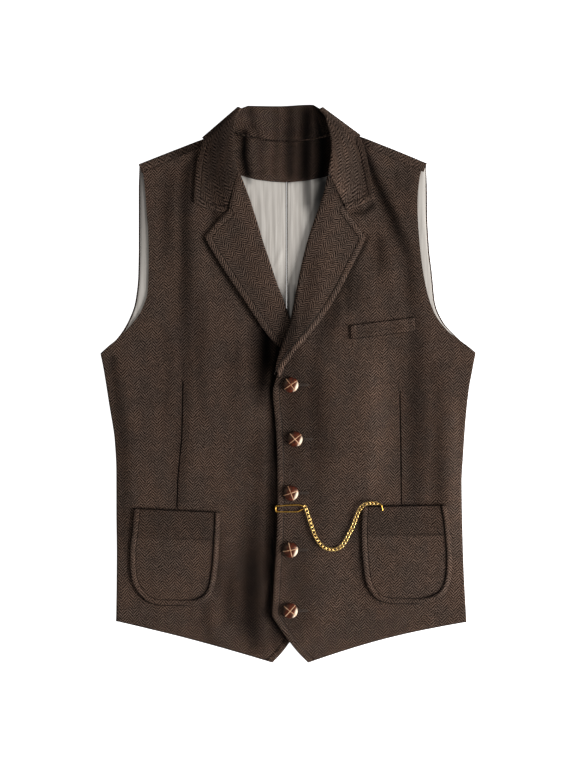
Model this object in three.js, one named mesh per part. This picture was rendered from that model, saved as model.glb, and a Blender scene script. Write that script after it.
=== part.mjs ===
// Suit waistcoat in herringbone tweed, buttoned and laid flat on its back.
// Millimetres. +Y runs to the collar, +X to the wearer's left, +Z up from the surface it lies on.
import * as THREE from "three";
import { mergeVertices } from "three/addons/utils/BufferGeometryUtils.js";

// Walls
const TWEED = 1.6;
const LINING = 1.0;
const FACING = 1.0;
const LAPEL = 1.8;
const COLLAR = 1.6;
const SEAM_GAP = 0.3;
const PLY_GAP = 0.45;

// Heights of the middle of each wall, from the surface up
const BACK_LEVEL = TWEED / 2;
const LINING_RISE = TWEED / 2 + PLY_GAP + LINING / 2;
const FACING_RISE = TWEED / 2 + PLY_GAP + FACING / 2;
const FRONT_LEVEL = BACK_LEVEL + LINING_RISE + LINING / 2 + PLY_GAP + TWEED / 2;
const OVERLAP_STEP = 2.1;
const FACING_STEP = 2.5;
const LAPEL_STEP = 2.3;
const LEAF_STEP = 2.2;

// Turned edges
const SIDE_TURN_RADIUS = (FRONT_LEVEL - BACK_LEVEL) / 2;
const SIDE_SEAM_GAP = 0.45;
const LAPEL_TURN_RADIUS = LAPEL_STEP;
const COLLAR_TURN_RADIUS = 1.3;
const FACING_TUCK = 8;

// The garment's centre lines
const CENTRE_BACK_X = -1.9;
const NECK_CENTRE_X = -9.6;

// Collar fall under the back neck
const FALL_LIFT = 2.2;
const FALL_EDGE_Y = 289;
const FALL_EDGE_CURVE = 17;
const FALL_HALF_WIDTH = 97;
const FALL_RAMP = [36, 6];
const FALL_END_SLOPE = 28;

// Share of the half turn over the shoulder that the back keeps along the neck seam
const NECK_TURN = 0.12;

// Buttons, chain and clip
const BUTTON_RADIUS = 9.6;
const BUTTON_HEIGHT = 6.2;
const CHAIN_DIAMETER = 4.6;
const WIRE_DIAMETER = 1.5;

const COLOURS = {
  tweed: 0x463a34,
  lining: 0xc8c3bc,
  leather: 0x4a1a0c,
  gold: 0xd9a832,
};

const { lerp, smoothstep, degToRad } = THREE.MathUtils;

function table(columns, rows) {
  return rows.map((row) => Object.fromEntries(columns.map((name, index) => [name, row[index]])));
}

// Reads column `to` where column `from`, which rises down the table, equals `at`.
function readTable(rows, from, to, at) {
  if (at <= rows[0][from]) return rows[0][to];
  for (let index = 1; index < rows.length; index += 1) {
    const low = rows[index - 1];
    const high = rows[index];
    if (at <= high[from]) return lerp(low[to], high[to], (at - low[from]) / (high[from] - low[from]));
  }
  return rows.at(-1)[to];
}

// Lapel sections from the gorge down: roll is the turned edge, out the lapel's free outline.
const LAPEL_COLUMNS = ["rollX", "rollY", "outX", "outY"];
const LAPEL_RIGHT = table(LAPEL_COLUMNS, [
  [-60.4, 263.6, -75.9, 211.7],
  [-54, 247, -77.3, 210.9],
  [-47.5, 229.5, -87, 203.2],
  [-42.5, 214, -104, 182.7],
  [-37.4, 198, -97, 169.5],
  [-31.4, 178, -88.5, 155.5],
  [-23.9, 155.7, -72.6, 130.7],
  [-13.9, 125.7, -57, 107.5],
  [-3.9, 99.4, -42, 84.5],
  [2.4, 79.4, -31.4, 68.5],
  [8.6, 56.9, -20, 54],
  [15, 34, -2, 37.4],
]);
const LAPEL_LEFT = table(LAPEL_COLUMNS, [
  [48.6, 259.2, 71.6, 215.8],
  [46, 244, 72.6, 214.5],
  [42.3, 231.5, 84.9, 198.4],
  [38.2, 219, 96.9, 181.9],
  [32.6, 204, 90.8, 168],
  [25.4, 182.4, 81.1, 149.4],
  [18, 154.4, 67.4, 121.5],
  [12.6, 129.4, 52.8, 96.5],
  [7.8, 104.4, 37.8, 75],
  [3, 80.7, 22.4, 55.7],
  [-0.4, 70, 15.6, 47.7],
  [-3.9, 59.4, 9.2, 40],
  [-7.6, 48, 2.8, 31],
  [-11.4, 36.9, -3.3, 22.5],
  [-14.2, 26, -7.6, 14],
  [-16.4, 15.7, -11.5, 6],
]);

// Collar leaf sections from the gorge up: roll edge, free edge and the neck seam hidden under it.
const LEAF_COLUMNS = ["rollX", "rollY", "outX", "outY", "seamX", "seamY"];
const LEAF_RIGHT = table(LEAF_COLUMNS, [
  [-61.3, 265.2, -77.4, 213.6, -64.2, 264.2],
  [-64.4, 272, -96.4, 216.3, -69, 268],
  [-67.1, 283.2, -117.6, 225.7, -73.5, 276],
  [-67.6, 294.4, -116.5, 243, -75.2, 285],
  [-67.4, 306.9, -115, 264, -75.5, 296],
  [-66.6, 320.7, -112, 284.5, -75, 305.5],
  [-64.5, 334, -107.8, 298, -74, 313],
]);
const LEAF_LEFT = table(LEAF_COLUMNS, [
  [49.4, 260.6, 72.4, 216.6, 52.4, 259.8],
  [51, 269.8, 88, 221.5, 56, 266],
  [52.9, 282, 108.4, 231, 60, 275],
  [53.6, 295.7, 105.4, 247.5, 61.8, 286],
  [52.1, 310, 100.8, 269.5, 62, 298],
  [48.6, 323, 96.6, 289, 61.5, 307],
  [45.2, 334.2, 91.8, 301.6, 60.5, 312.5],
]);

// Collar back sections across the neck: top fold, hidden free edge of the fall, and neck seam.
const COLLAR_BACK = table(LEAF_COLUMNS, [
  [-50, 346.9, -84, 299, -60, 312],
  [-38, 346.6, -60, 292.5, -44, 308.3],
  [-25, 346.4, -35, 289.5, -26, 304.7],
  [-10, 346.3, -9.6, 288.8, -9.6, 303.4],
  [5, 347, 16, 289.5, 7, 303.5],
  [19, 347.9, 41, 292, 24, 305.4],
  [31, 348.2, 66, 299.5, 42, 308.6],
]);

// Slanting folds where the fall passes over the shoulder: outline from the free edge to the top.
const SHOULDER_FOLD_RIGHT = { outX: -107.4, outY: 307, topX: -62, topY: 346, seamX: -73, seamY: 315.6 };
const SHOULDER_FOLD_LEFT = { outX: 90.8, outY: 310, topX: 42.6, topY: 345.6, seamX: 60, seamY: 315.4 };

// Front sections from the hem up: side end, centre or armhole end, upward bow, turn at the side.
const FRONT_COLUMNS = ["sideX", "sideY", "edgeX", "edgeY", "bow", "turn"];
const FRONT_RIGHT = table(FRONT_COLUMNS, [
  [-215, -297, -19.5, -348.3, 2, 1],
  [-214.6, -282, -7, -335, 2, 1],
  [-214.3, -266, 7, -315, 1, 1],
  [-214.2, -245.5, 26, -287, 0, 1],
  [-214, -210.5, 23, -239, 0, 1],
  [-214.5, -163, 19.5, -183, 0, 1],
  [-214.6, -110.6, 19, -133, 0, 1],
  [-216.5, -72, 20, -83, 0, 1],
  [-223.8, -24, 22.5, -45.6, 0, 1],
  [-228.8, 8, 24.5, -10, 0, 1],
  [-231.6, 24, 19.5, 7, 0, 1],
  [-234.4, 37.2, 11, 39.4, 0, 1],
  [-224, 46.5, 4.5, 62, 0, 0.45],
  [-213.4, 55.7, -1.4, 82.7, 0, 0],
  [-195.5, 73.6, -10.5, 110, 0, 0],
  [-183, 91.4, -21.6, 139.6, 0, 0],
  [-175, 117, -33.7, 174, 0, 0],
  [-174, 154.4, -46.2, 213.7, 0, 0],
  [-174.5, 190, -57, 245, 0, 0],
  [-176.4, 212, -64.8, 262.5, 0, 0],
  [-177.2, 225, -70, 267.6, 0, 0],
  [-178, 236, -74.4, 276.5, 0, 0],
  [-178.8, 244, -76.2, 285.5, 0, 0],
  [-179.6, 252, -76.4, 294, 0, 0],
  [-180.6, 259, -76.4, 302, 0, 0],
  [-181.5, 265, -76.4, 308.6, 0, 0],
]);
const FRONT_LEFT = table(FRONT_COLUMNS, [
  [223, -298, 25, -348.3, 5, 1],
  [222, -284, 14, -337, 4, 1],
  [221, -270, 1.7, -322, 3, 1],
  [220, -250, -20, -290, 1, 1],
  [219, -220.6, -17, -238.4, 0, 1],
  [217, -183, -14, -189, 0, 1],
  [216.4, -136.4, -13, -139.3, 0, 1],
  [219, -85.3, -13.5, -89.3, 0, 1],
  [222.8, -34.3, -15.8, -46.8, 0, 1],
  [227, 0, -18.9, -10, 0, 1],
  [229.4, 12, -15.4, 4, 0, 1],
  [231.4, 23, -13, 14, 0, 1],
  [233, 31, -11.2, 23.5, 0, 1],
  [234.4, 38.4, -9.3, 33.3, 0, 1],
  [229.4, 42.4, -7, 41, 0, 0.8],
  [225, 46, -4.6, 49, 0, 0.45],
  [214, 54.4, -0.4, 62, 0, 0],
  [205, 60.6, 3.9, 75, 0, 0],
  [197, 68, 7.9, 88, 0, 0],
  [188, 79, 11.4, 103, 0, 0],
  [181, 91.4, 14.6, 118, 0, 0],
  [172.8, 117, 22, 150, 0, 0],
  [166, 157, 35.5, 202, 0, 0],
  [162.6, 195, 47, 236.3, 0, 0],
  [161.6, 215, 52.8, 256.5, 0, 0],
  [161.5, 225, 57, 265.6, 0, 0],
  [161.8, 236, 61.3, 275.6, 0, 0],
  [162.6, 245, 62.8, 285, 0, 0],
  [163.6, 253, 62.8, 294, 0, 0],
  [164.8, 260, 62.8, 303, 0, 0],
  [166.4, 266.2, 62.8, 310.2, 0, 0],
]);

// Back sections from the hem up: the side seam, then the armhole. The top row starts the yoke.
const BACK_COLUMNS = ["sideX", "sideY", "centreY", "turn"];
const BACK_RIGHT = table(BACK_COLUMNS, [
  [-215, -297, -301, 1],
  [-214, -210.5, -210, 1],
  [-214.6, -110.6, -110, 1],
  [-216.5, -72, -72, 1],
  [-223.8, -24, -24, 1],
  [-228.8, 8, 8, 1],
  [-234.4, 37.2, 42, 1],
  [-224, 46.5, 60, 0.45],
  [-213.4, 56.4, 78, 0],
  [-200.5, 76, 98, 0],
  [-191, 101.5, 122, 0],
  [-187.2, 135.7, 150, 0],
  [-186.6, 173.2, 180, 0],
  [-186.6, 215, 215, 0],
  [-186.6, 246, 246, 0],
]);
const BACK_LEFT = table(BACK_COLUMNS, [
  [223, -298, -301, 1],
  [218.8, -210.5, -210, 1],
  [217, -110.6, -110, 1],
  [219.8, -72, -72, 1],
  [223.8, -24, -24, 1],
  [228.4, 8, 8, 1],
  [234.4, 38.4, 42, 1],
  [225, 46, 60, 0.45],
  [214.5, 54.6, 78, 0],
  [193, 78, 98, 0],
  [183.6, 100.9, 122, 0],
  [180, 135.7, 150, 0],
  [176.2, 169.2, 180, 0],
  [174, 210, 215, 0],
  [173.6, 246, 246, 0],
]);

// Top of the back: over the shoulder, then along the neck. turn is the share of a half turn,
// width how far the turned part reaches in front of the shoulder.
const YOKE_COLUMNS = ["x", "y", "turn", "width"];
const YOKE_RIGHT = table(YOKE_COLUMNS, [
  [-184.2, 274.8, 1, 9.6],
  [-162, 283.6, 1, 9.1],
  [-142, 291.5, 1, 8.7],
  [-126, 297.6, 1, 8.3],
  [-113, 302.4, 1, 7.6],
  [-101, 306.7, 1, 7],
  [-90, 310.6, 1, 6.4],
  [-79.4, 313.8, NECK_TURN, 1],
  [-62, 310.6, NECK_TURN, 1],
  [-48, 307.2, NECK_TURN, 1],
  [-24, 303.6, NECK_TURN, 1],
  [CENTRE_BACK_X - SEAM_GAP / 2, 302.6, NECK_TURN, 1],
]);
const YOKE_LEFT = table(YOKE_COLUMNS, [
  [171, 276, 1, 9.2],
  [150, 284.8, 1, 9],
  [131, 292.6, 1, 8.6],
  [114, 299.2, 1, 8],
  [101, 304.2, 1, 7.4],
  [89, 308.4, 1, 6.9],
  [77.6, 312.4, 1, 6.4],
  [66, 315, NECK_TURN, 1],
  [52, 310.4, NECK_TURN, 1],
  [38, 306.6, NECK_TURN, 1],
  [18, 303.8, NECK_TURN, 1],
  [CENTRE_BACK_X + SEAM_GAP / 2, 302.6, NECK_TURN, 1],
]);

// Lining sections from below the neck opening up, then its top edge along shoulder and facing.
const LINING_RIGHT = table(BACK_COLUMNS, [
  [-209, 57, 48, 0],
  [-197.6, 77, 76, 0],
  [-189, 101.5, 104, 0],
  [-185.2, 135.7, 137, 0],
  [-184.6, 173.2, 175, 0],
  [-184.6, 215, 210, 0],
  [-184.6, 246, 228, 0],
]);
const LINING_LEFT = table(BACK_COLUMNS, [
  [209, 57, 48, 0],
  [190.2, 79, 76, 0],
  [181.6, 100.9, 104, 0],
  [178, 135.7, 137, 0],
  [174.2, 169.2, 175, 0],
  [172, 210, 210, 0],
  [171.6, 246, 228, 0],
]);
const LINING_TOP_RIGHT = table(["x", "y"], [
  [-184.4, 270],
  [-164, 278.2],
  [-144, 286.2],
  [-131, 291],
  [-120, 295],
  [-110, 298.4],
  [-101.4, 301],
  [-92, 289.6],
  [-80.4, 275.2],
  [-65.2, 261.5],
  [-40.6, 254.6],
  [-21.5, 252.1],
  [CENTRE_BACK_X - SEAM_GAP / 2, 250.9],
]);
const LINING_TOP_LEFT = table(["x", "y"], [
  [171.4, 270.8],
  [152, 279.4],
  [133, 287.2],
  [120, 292.4],
  [109, 296.4],
  [100, 299.4],
  [91.4, 301],
  [82, 291],
  [73, 280.6],
  [62, 268.6],
  [47.4, 258.2],
  [21.5, 253.1],
  [CENTRE_BACK_X + SEAM_GAP / 2, 250.9],
]);

// Neck facing: lower and upper edge.
const NECK_FACING = table(["lowX", "lowY", "topX", "topY"], [
  [-100, 300.6, -97, 303.2],
  [-91, 289, -87, 306],
  [-80, 275.8, -77, 308.4],
  [-65, 262.1, -61, 309.6],
  [-40.6, 255.2, -44.4, 305.8],
  [-21.5, 252.7, -25, 302.6],
  [1.5, 251.6, -3, 301.4],
  [21.5, 253.7, 20, 302.8],
  [47.4, 258.9, 42, 306.2],
  [62, 269.4, 58.6, 309.6],
  [73, 281.4, 70, 308],
  [82, 291.8, 78.4, 305.6],
  [90, 300.6, 86.6, 303],
]);

// Largest soft folds of the fronts: ridge from one end to the other, half width, height.
const FOLD_COLUMNS = ["fromX", "fromY", "toX", "toY", "halfWidth", "height"];
const FOLDS_RIGHT = table(FOLD_COLUMNS, [
  [-146, 262, -140, 120, 11, 1.7],
  [-116, 208, -112, 60, 15, 1.5],
  [-160, 60, -150, -90, 22, 1.2],
  [-84, -268, -108, -318, 10, 1.6],
  [-60, 30, -40, -180, 20, 1.3],
]);
const FOLDS_LEFT = table(FOLD_COLUMNS, [
  [92, 160, 122, -10, 18, 1.5],
  [128, 262, 142, 120, 12, 2],
  [110, 222, 152, 20, 9, 1.2],
  [168, 40, 176, -110, 20, 1.4],
  [66, -150, 60, -290, 18, 1.3],
]);

// Patch pockets, from mouth to bottom. The mouth slants by its own ends.
const POCKET_COLUMNS = ["leftX", "leftY", "rightX", "rightY"];
const POCKET_RIGHT = table(POCKET_COLUMNS, [
  [-192, -155.2, -84, -160],
  [-193.6, -170, -84.3, -174],
  [-194.8, -184, -84.9, -187],
  [-195.6, -190, -85.2, -192.6],
  [-197.4, -206, -86, -208],
  [-197.6, -224, -87.4, -225],
  [-195.8, -243, -89.8, -243],
  [-190, -257, -93, -257],
  [-182, -267.5, -99.5, -267.5],
  [-172, -274, -108.5, -274],
  [-160, -277, -120, -277.4],
]);
const POCKET_LEFT = table(POCKET_COLUMNS, [
  [92.4, -153, 197.4, -151],
  [91.2, -168, 200.4, -167],
  [90.8, -181, 202, -180.4],
  [90.8, -187, 202.6, -187],
  [91.4, -205, 204.2, -205],
  [93, -225, 204.6, -225],
  [95.4, -244, 203, -244],
  [100.5, -257.5, 198.4, -257.5],
  [108, -267, 190, -267],
  [117.5, -272.6, 178, -272.6],
  [128, -274.8, 165, -275.2],
]);
const POCKET_BAND_ROWS = 3;

// Chest welt, left and right end of its upper and lower edge.
const WELT = table(POCKET_COLUMNS, [
  [77.2, 72, 158.8, 82.4],
  [77.4, 66.4, 159, 76.6],
  [77.6, 60.6, 159.3, 70.8],
  [77.8, 55, 159.5, 65],
]);

const BUTTONS = table(["x", "y"], [
  [3.4, -1.7],
  [8.6, -69.3],
  [3.4, -136.4],
  [2.9, -207.3],
  [2.5, -283],
]);

// Watch chain route on the left front, from the clip to the pocket mouth. raise clears the pocket.
const CHAIN_ROUTE = table(["x", "y", "raise"], [
  [21.6, -154.4, 0],
  [24, -161, 0],
  [28.3, -174.6, 0],
  [33.2, -188.2, 0],
  [39.8, -199.3, 0],
  [47.6, -205.4, 0],
  [56.2, -206.9, 0],
  [64, -204.6, 0],
  [70.6, -197.1, 0],
  [76.4, -186.6, 0],
  [81.1, -176.9, 0],
  [85.4, -165, 0.4],
  [89.6, -156, 1.6],
  [95.4, -150.6, 2.4],
  [102.6, -149, 2.4],
  [109, -149, 2.4],
]);

// Level of the cloth

// The fall of the collar lies under the back neck and lifts everything above it.
function fallLift(x, y) {
  const across = (x - NECK_CENTRE_X) / FALL_HALF_WIDTH;
  const beyond = Math.max(Math.abs(across) - 1, 0);
  const edge = FALL_EDGE_Y + FALL_EDGE_CURVE * across * across + FALL_END_SLOPE * beyond;
  return FALL_LIFT * smoothstep(y, edge - FALL_RAMP[0], edge - FALL_RAMP[1]);
}

function backLevel(x, y) {
  return BACK_LEVEL + fallLift(x, y);
}

function rollLine(lapel, leaf) {
  return [...lapel.toReversed(), ...leaf].map((row) => ({ x: row.rollX, y: row.rollY }));
}
const ROLL_RIGHT = rollLine(LAPEL_RIGHT, LEAF_RIGHT);
const ROLL_LEFT = rollLine(LAPEL_LEFT, LEAF_LEFT);
const ROLL_PLATEAU = 12;
const ROLL_FALL = 46;
const FACING_END_RIGHT = [0, 28];
const FACING_END_LEFT = [-16, 12];

// Share of its step that the facing tucked under a roll line adds, 1 at the roll line.
function facingShare(roll, side, ends, x, y) {
  const inward = side * (x - readTable(roll, "y", "x", y));
  const fade = smoothstep(y, ends[0], ends[1]);
  return fade * (1 - smoothstep(inward, ROLL_PLATEAU, ROLL_FALL));
}

const FOLD_FADE = 0.3;

function foldHeight(folds, x, y) {
  let height = 0;
  for (const fold of folds) {
    const alongX = fold.toX - fold.fromX;
    const alongY = fold.toY - fold.fromY;
    const length = Math.hypot(alongX, alongY);
    const share = ((x - fold.fromX) * alongX + (y - fold.fromY) * alongY) / (length * length);
    const away = ((x - fold.fromX) * alongY - (y - fold.fromY) * alongX) / length;
    const fade = smoothstep(share, 0, FOLD_FADE) * (1 - smoothstep(share, 1 - FOLD_FADE, 1));
    height += fold.height * fade * Math.exp(-((away / fold.halfWidth) ** 2));
  }
  return height;
}

function frontRightLevel(x, y) {
  const base = FRONT_LEVEL + fallLift(x, y);
  return base + FACING_STEP * facingShare(ROLL_RIGHT, -1, FACING_END_RIGHT, x, y) + foldHeight(FOLDS_RIGHT, x, y);
}

const UNDER_EDGE = FRONT_RIGHT.map((row) => ({ x: row.edgeX, y: row.edgeY }));
const UNDER_LAPEL_EDGE = LAPEL_RIGHT.toReversed().map((row) => ({ x: row.outX, y: row.outY }));
const UNDER_LAPEL_END = [4, 28];
const UNDER_LAPEL_RAMP = [21, 2];
const OVERLAP_NEAR = 10;
const OVERLAP_FAR = 46;

// Share of the under lapel below a point, 1 where the lapel is.
function underLapelShare(x, y) {
  const outer = readTable(UNDER_LAPEL_EDGE, "y", "x", y);
  const across = smoothstep(x, outer - UNDER_LAPEL_RAMP[0], outer - UNDER_LAPEL_RAMP[1]);
  return across * smoothstep(y, UNDER_LAPEL_END[0], UNDER_LAPEL_END[1]);
}

function frontLeftLevel(x, y) {
  const own = FRONT_LEVEL + fallLift(x, y);
  const underEdge = readTable(UNDER_EDGE, "y", "x", y);
  const lapel = (LAPEL_STEP + SEAM_GAP) * underLapelShare(x, y);
  const under = frontRightLevel(Math.min(x, underEdge), y) + OVERLAP_STEP + lapel;
  const overlap = 1 - smoothstep(x, underEdge + OVERLAP_NEAR, underEdge + OVERLAP_FAR);
  const facing = FACING_STEP * facingShare(ROLL_LEFT, 1, FACING_END_LEFT, x, y);
  return lerp(own, under, overlap) + facing + foldHeight(FOLDS_LEFT, x, y);
}

// Walls from grids of points on the middle of the cloth

// Direction of a row of points at one of them. At an end it follows the curve of the last three.
function tangent(points, index) {
  const last = points.length - 1;
  if (index > 0 && index < last) return new THREE.Vector3().subVectors(points[index + 1], points[index - 1]);
  const inward = index === 0 ? 1 : -1;
  const near = new THREE.Vector3().subVectors(points[index + inward], points[index]);
  if (last < 2) return near.multiplyScalar(inward);
  const far = new THREE.Vector3().subVectors(points[index + 2 * inward], points[index + inward]);
  const share = near.length() / (near.length() + far.length());
  const slope = near.clone().normalize().multiplyScalar(1 + share);
  return slope.addScaledVector(far.normalize(), -share).multiplyScalar(inward);
}

function gridNormal(grid, row, column) {
  const alongRows = tangent(grid.map((points) => points[column]), row);
  const alongColumns = tangent(grid[row], column);
  return alongColumns.cross(alongRows).normalize();
}

// A closed wall of even thickness.
function wall(grid, thickness) {
  const rows = grid.length;
  const columns = grid[0].length;
  const positions = [];
  for (const side of [0.5, -0.5]) {
    for (let row = 0; row < rows; row += 1) {
      for (let column = 0; column < columns; column += 1) {
        const point = grid[row][column].clone();
        point.addScaledVector(gridNormal(grid, row, column), side * thickness);
        positions.push(point.x, point.y, point.z);
      }
    }
  }
  const layer = rows * columns;
  const indices = [];
  const quad = (a, b, c, d) => indices.push(a, b, c, a, c, d);
  for (let row = 0; row < rows - 1; row += 1) {
    for (let column = 0; column < columns - 1; column += 1) {
      const corner = row * columns + column;
      const next = corner + columns;
      quad(corner, corner + 1, next + 1, next);
      quad(layer + corner, layer + next, layer + next + 1, layer + corner + 1);
    }
  }
  for (let column = 0; column < columns - 1; column += 1) {
    const last = (rows - 1) * columns + column;
    quad(column, layer + column, layer + column + 1, column + 1);
    quad(last, last + 1, layer + last + 1, layer + last);
  }
  for (let row = 0; row < rows - 1; row += 1) {
    const first = row * columns;
    const last = first + columns - 1;
    quad(first, first + columns, layer + first + columns, layer + first);
    quad(last, layer + last, layer + last + columns, last + columns);
  }
  const geometry = new THREE.BufferGeometry();
  geometry.setAttribute("position", new THREE.Float32BufferAttribute(positions, 3));
  geometry.setIndex(indices);
  return faceOut(geometry);
}

function signedVolume(geometry) {
  const position = geometry.attributes.position;
  const index = geometry.index;
  const [a, b, c] = [new THREE.Vector3(), new THREE.Vector3(), new THREE.Vector3()];
  let volume = 0;
  for (let corner = 0; corner < index.count; corner += 3) {
    a.fromBufferAttribute(position, index.getX(corner));
    b.fromBufferAttribute(position, index.getX(corner + 1));
    c.fromBufferAttribute(position, index.getX(corner + 2));
    volume += a.dot(b.cross(c)) / 6;
  }
  return volume;
}

function faceOut(geometry) {
  if (signedVolume(geometry) < 0) {
    const index = geometry.index.array;
    for (let corner = 0; corner < index.length; corner += 3) {
      [index[corner + 1], index[corner + 2]] = [index[corner + 2], index[corner + 1]];
    }
  }
  geometry.computeVertexNormals();
  return geometry;
}

// Turned side seam: points from the seam to where the cloth lies flat. upward is 1 on the back.
const SIDE_TURN_STEPS = 3;
const LEAST_TURN = 0.001;

function sideTurn(sideX, sideY, side, turn, level, upward) {
  const length = SIDE_TURN_RADIUS * Math.PI / 2 - SIDE_SEAM_GAP / 2;
  const bend = Math.max(turn, LEAST_TURN) / SIDE_TURN_RADIUS;
  const inset = lerp(length, TWEED / 2 + SIDE_TURN_RADIUS, turn);
  const flatX = sideX - side * inset;
  const points = [];
  for (let step = SIDE_TURN_STEPS; step > 0; step -= 1) {
    const angle = bend * length * step / SIDE_TURN_STEPS;
    const out = Math.sin(angle) / bend;
    const drop = (1 - Math.cos(angle)) / bend;
    points.push(new THREE.Vector3(flatX + side * out, sideY, level + upward * drop));
  }
  points.push(new THREE.Vector3(flatX, sideY, level));
  return points;
}

// Fronts

const FRONT_SHARES = [0.07, 0.16, 0.26, 0.36, 0.46, 0.56, 0.65, 0.73, 0.8, 0.86, 0.91, 0.95, 0.98, 1];

function frontGrid(rows, side, levelAt) {
  return rows.map((row) => {
    const level = levelAt(row.sideX - side * SIDE_TURN_RADIUS, row.sideY);
    const points = sideTurn(row.sideX, row.sideY, side, row.turn, level, -1);
    const flat = points.at(-1);
    for (const share of FRONT_SHARES) {
      const x = lerp(flat.x, row.edgeX, share);
      const y = lerp(flat.y, row.edgeY, share) + row.bow * Math.sin(Math.PI * share);
      points.push(new THREE.Vector3(x, y, levelAt(x, y)));
    }
    return points;
  });
}

// Back

const YOKE_STEPS = [0.22, 0.4, 0.56, 0.7, 0.84];
const WRAP_STEPS = 4;

function backGrid(rows, yoke, side, frontLevelAt) {
  const grid = rows.map((row) => {
    const level = backLevel(row.sideX, row.sideY);
    const points = sideTurn(row.sideX, row.sideY, side, row.turn, level, 1);
    const flat = points.at(-1);
    for (const end of yoke.slice(1)) {
      const share = (end.x - yoke[0].x) / (yoke.at(-1).x - yoke[0].x);
      const x = lerp(flat.x, yoke.at(-1).x, share);
      const y = lerp(flat.y, row.centreY, share);
      points.push(new THREE.Vector3(x, y, backLevel(x, y)));
    }
    return points;
  });
  const top = wrapRows(yoke, frontLevelAt, grid.at(-1));
  const last = grid.at(-1);
  for (const share of YOKE_STEPS) {
    grid.push(last.map((point, column) => {
      const x = lerp(point.x, top[0][column].x, share);
      const y = lerp(point.y, top[0][column].y, share);
      return new THREE.Vector3(x, y, backLevel(x, y));
    }));
  }
  return [...grid, ...top];
}

// Rows that turn the back over the shoulder to the shoulder seam, and end it at the neck.
function wrapRows(yoke, frontLevelAt, below) {
  const shoulder = shoulderOutward(yoke);
  const outline = below.map((point, column) => {
    const own = yoke[Math.max(column - SIDE_TURN_STEPS, 0)];
    const x = column < SIDE_TURN_STEPS ? point.x - below[SIDE_TURN_STEPS].x + own.x : own.x;
    return { ...own, x, y: own.y - (x - own.x) * shoulder.x / shoulder.y };
  });
  const rows = [];
  for (let step = 0; step <= WRAP_STEPS + 1; step += 1) {
    rows.push(outline.map((point) => {
      const outward = point.turn < 1 ? new THREE.Vector2(0, 1) : shoulder;
      const bottom = backLevel(point.x, point.y - TWEED);
      const radius = (frontLevelAt(point.x, point.y - TWEED) - bottom) / 2;
      const inset = lerp(TWEED, radius + TWEED / 2, smoothstep(point.turn, NECK_TURN, 1));
      const angle = Math.PI * point.turn * Math.min(step / WRAP_STEPS, 1);
      const flat = step > WRAP_STEPS ? point.width - inset : 0;
      const reach = radius * Math.sin(angle) - inset - flat;
      const x = point.x + outward.x * reach;
      const y = point.y + outward.y * reach;
      return new THREE.Vector3(x, y, bottom + radius * (1 - Math.cos(angle)));
    }));
  }
  return rows;
}

function shoulderOutward(yoke) {
  const neck = yoke[4];
  const along = new THREE.Vector2(neck.x - yoke[0].x, neck.y - yoke[0].y).normalize();
  return new THREE.Vector2(-along.y * Math.sign(along.x), Math.abs(along.x));
}

// Lining and neck facing lie on the back

const LINING_TOP_SHARES = [0.4, 0.7, 1];

function liningGrid(rows, top, rise) {
  const grid = rows.map((row) => top.map((end) => {
    const share = (end.x - top[0].x) / (top.at(-1).x - top[0].x);
    const x = lerp(row.sideX, top.at(-1).x, share);
    const y = lerp(row.sideY, row.centreY, share);
    return new THREE.Vector3(x, y, backLevel(x, y) + rise);
  }));
  const last = grid.at(-1);
  for (const share of LINING_TOP_SHARES) {
    grid.push(last.map((point, column) => {
      const x = lerp(point.x, top[column].x, share);
      const y = lerp(point.y, top[column].y, share);
      return new THREE.Vector3(x, y, backLevel(x, y) + rise);
    }));
  }
  return grid;
}

const FACING_STEPS = 5;

function neckFacingGrid() {
  return Array.from({ length: FACING_STEPS + 1 }, (_, step) => NECK_FACING.map((row) => {
    const x = lerp(row.lowX, row.topX, step / FACING_STEPS);
    const y = lerp(row.lowY, row.topY, step / FACING_STEPS);
    return new THREE.Vector3(x, y, backLevel(x, y) + FACING_RISE);
  }));
}

// Lapels

const LAPEL_TURN_STEPS = 5;
const LAPEL_SHARES = [0.08, 0.2, 0.34, 0.5, 0.66, 0.82, 1];
const LAPEL_SWELL = 1.1;
const LAPEL_SWELL_SLOPE = 1 / 30;
const PRESSED_FLAT = [83, 143];

// Unit vector across the roll line, pointing from the neck opening into the panel.
function acrossRoll(rows, index, side) {
  const before = rows[Math.max(index - 1, 0)];
  const after = rows[Math.min(index + 1, rows.length - 1)];
  const along = new THREE.Vector2(after.rollX - before.rollX, after.rollY - before.rollY).normalize();
  const across = new THREE.Vector2(-along.y, along.x);
  return across.x * side < 0 ? across.negate() : across;
}

function lapelGrid(rows, side, levelAt) {
  return rows.map((row, index) => {
    const across = acrossRoll(rows, index, side);
    const centre = new THREE.Vector2(row.rollX, row.rollY)
      .addScaledVector(across, LAPEL_TURN_RADIUS + LAPEL / 2);
    const level = levelAt(centre.x, centre.y);
    const points = [];
    for (const tuck of [FACING_TUCK, FACING_TUCK / 2]) {
      const place = centre.clone().addScaledVector(across, tuck);
      points.push(new THREE.Vector3(place.x, place.y, levelAt(place.x, place.y) - LAPEL_STEP));
    }
    for (let step = 0; step <= LAPEL_TURN_STEPS; step += 1) {
      const angle = Math.PI * step / LAPEL_TURN_STEPS;
      const place = centre.clone().addScaledVector(across, -LAPEL_TURN_RADIUS * Math.sin(angle));
      points.push(new THREE.Vector3(place.x, place.y, level - LAPEL_STEP * Math.cos(angle)));
    }
    const width = Math.hypot(row.outX - centre.x, row.outY - centre.y);
    const swell = Math.min(LAPEL_SWELL, width * LAPEL_SWELL_SLOPE) * smoothstep(row.rollY, ...PRESSED_FLAT);
    for (const share of LAPEL_SHARES) {
      const x = lerp(centre.x, row.outX, share);
      const y = lerp(centre.y, row.outY, share);
      const height = levelAt(x, y) + LAPEL_STEP + swell * Math.sin(Math.PI * share);
      points.push(new THREE.Vector3(x, y, height));
    }
    return points;
  });
}

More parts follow.
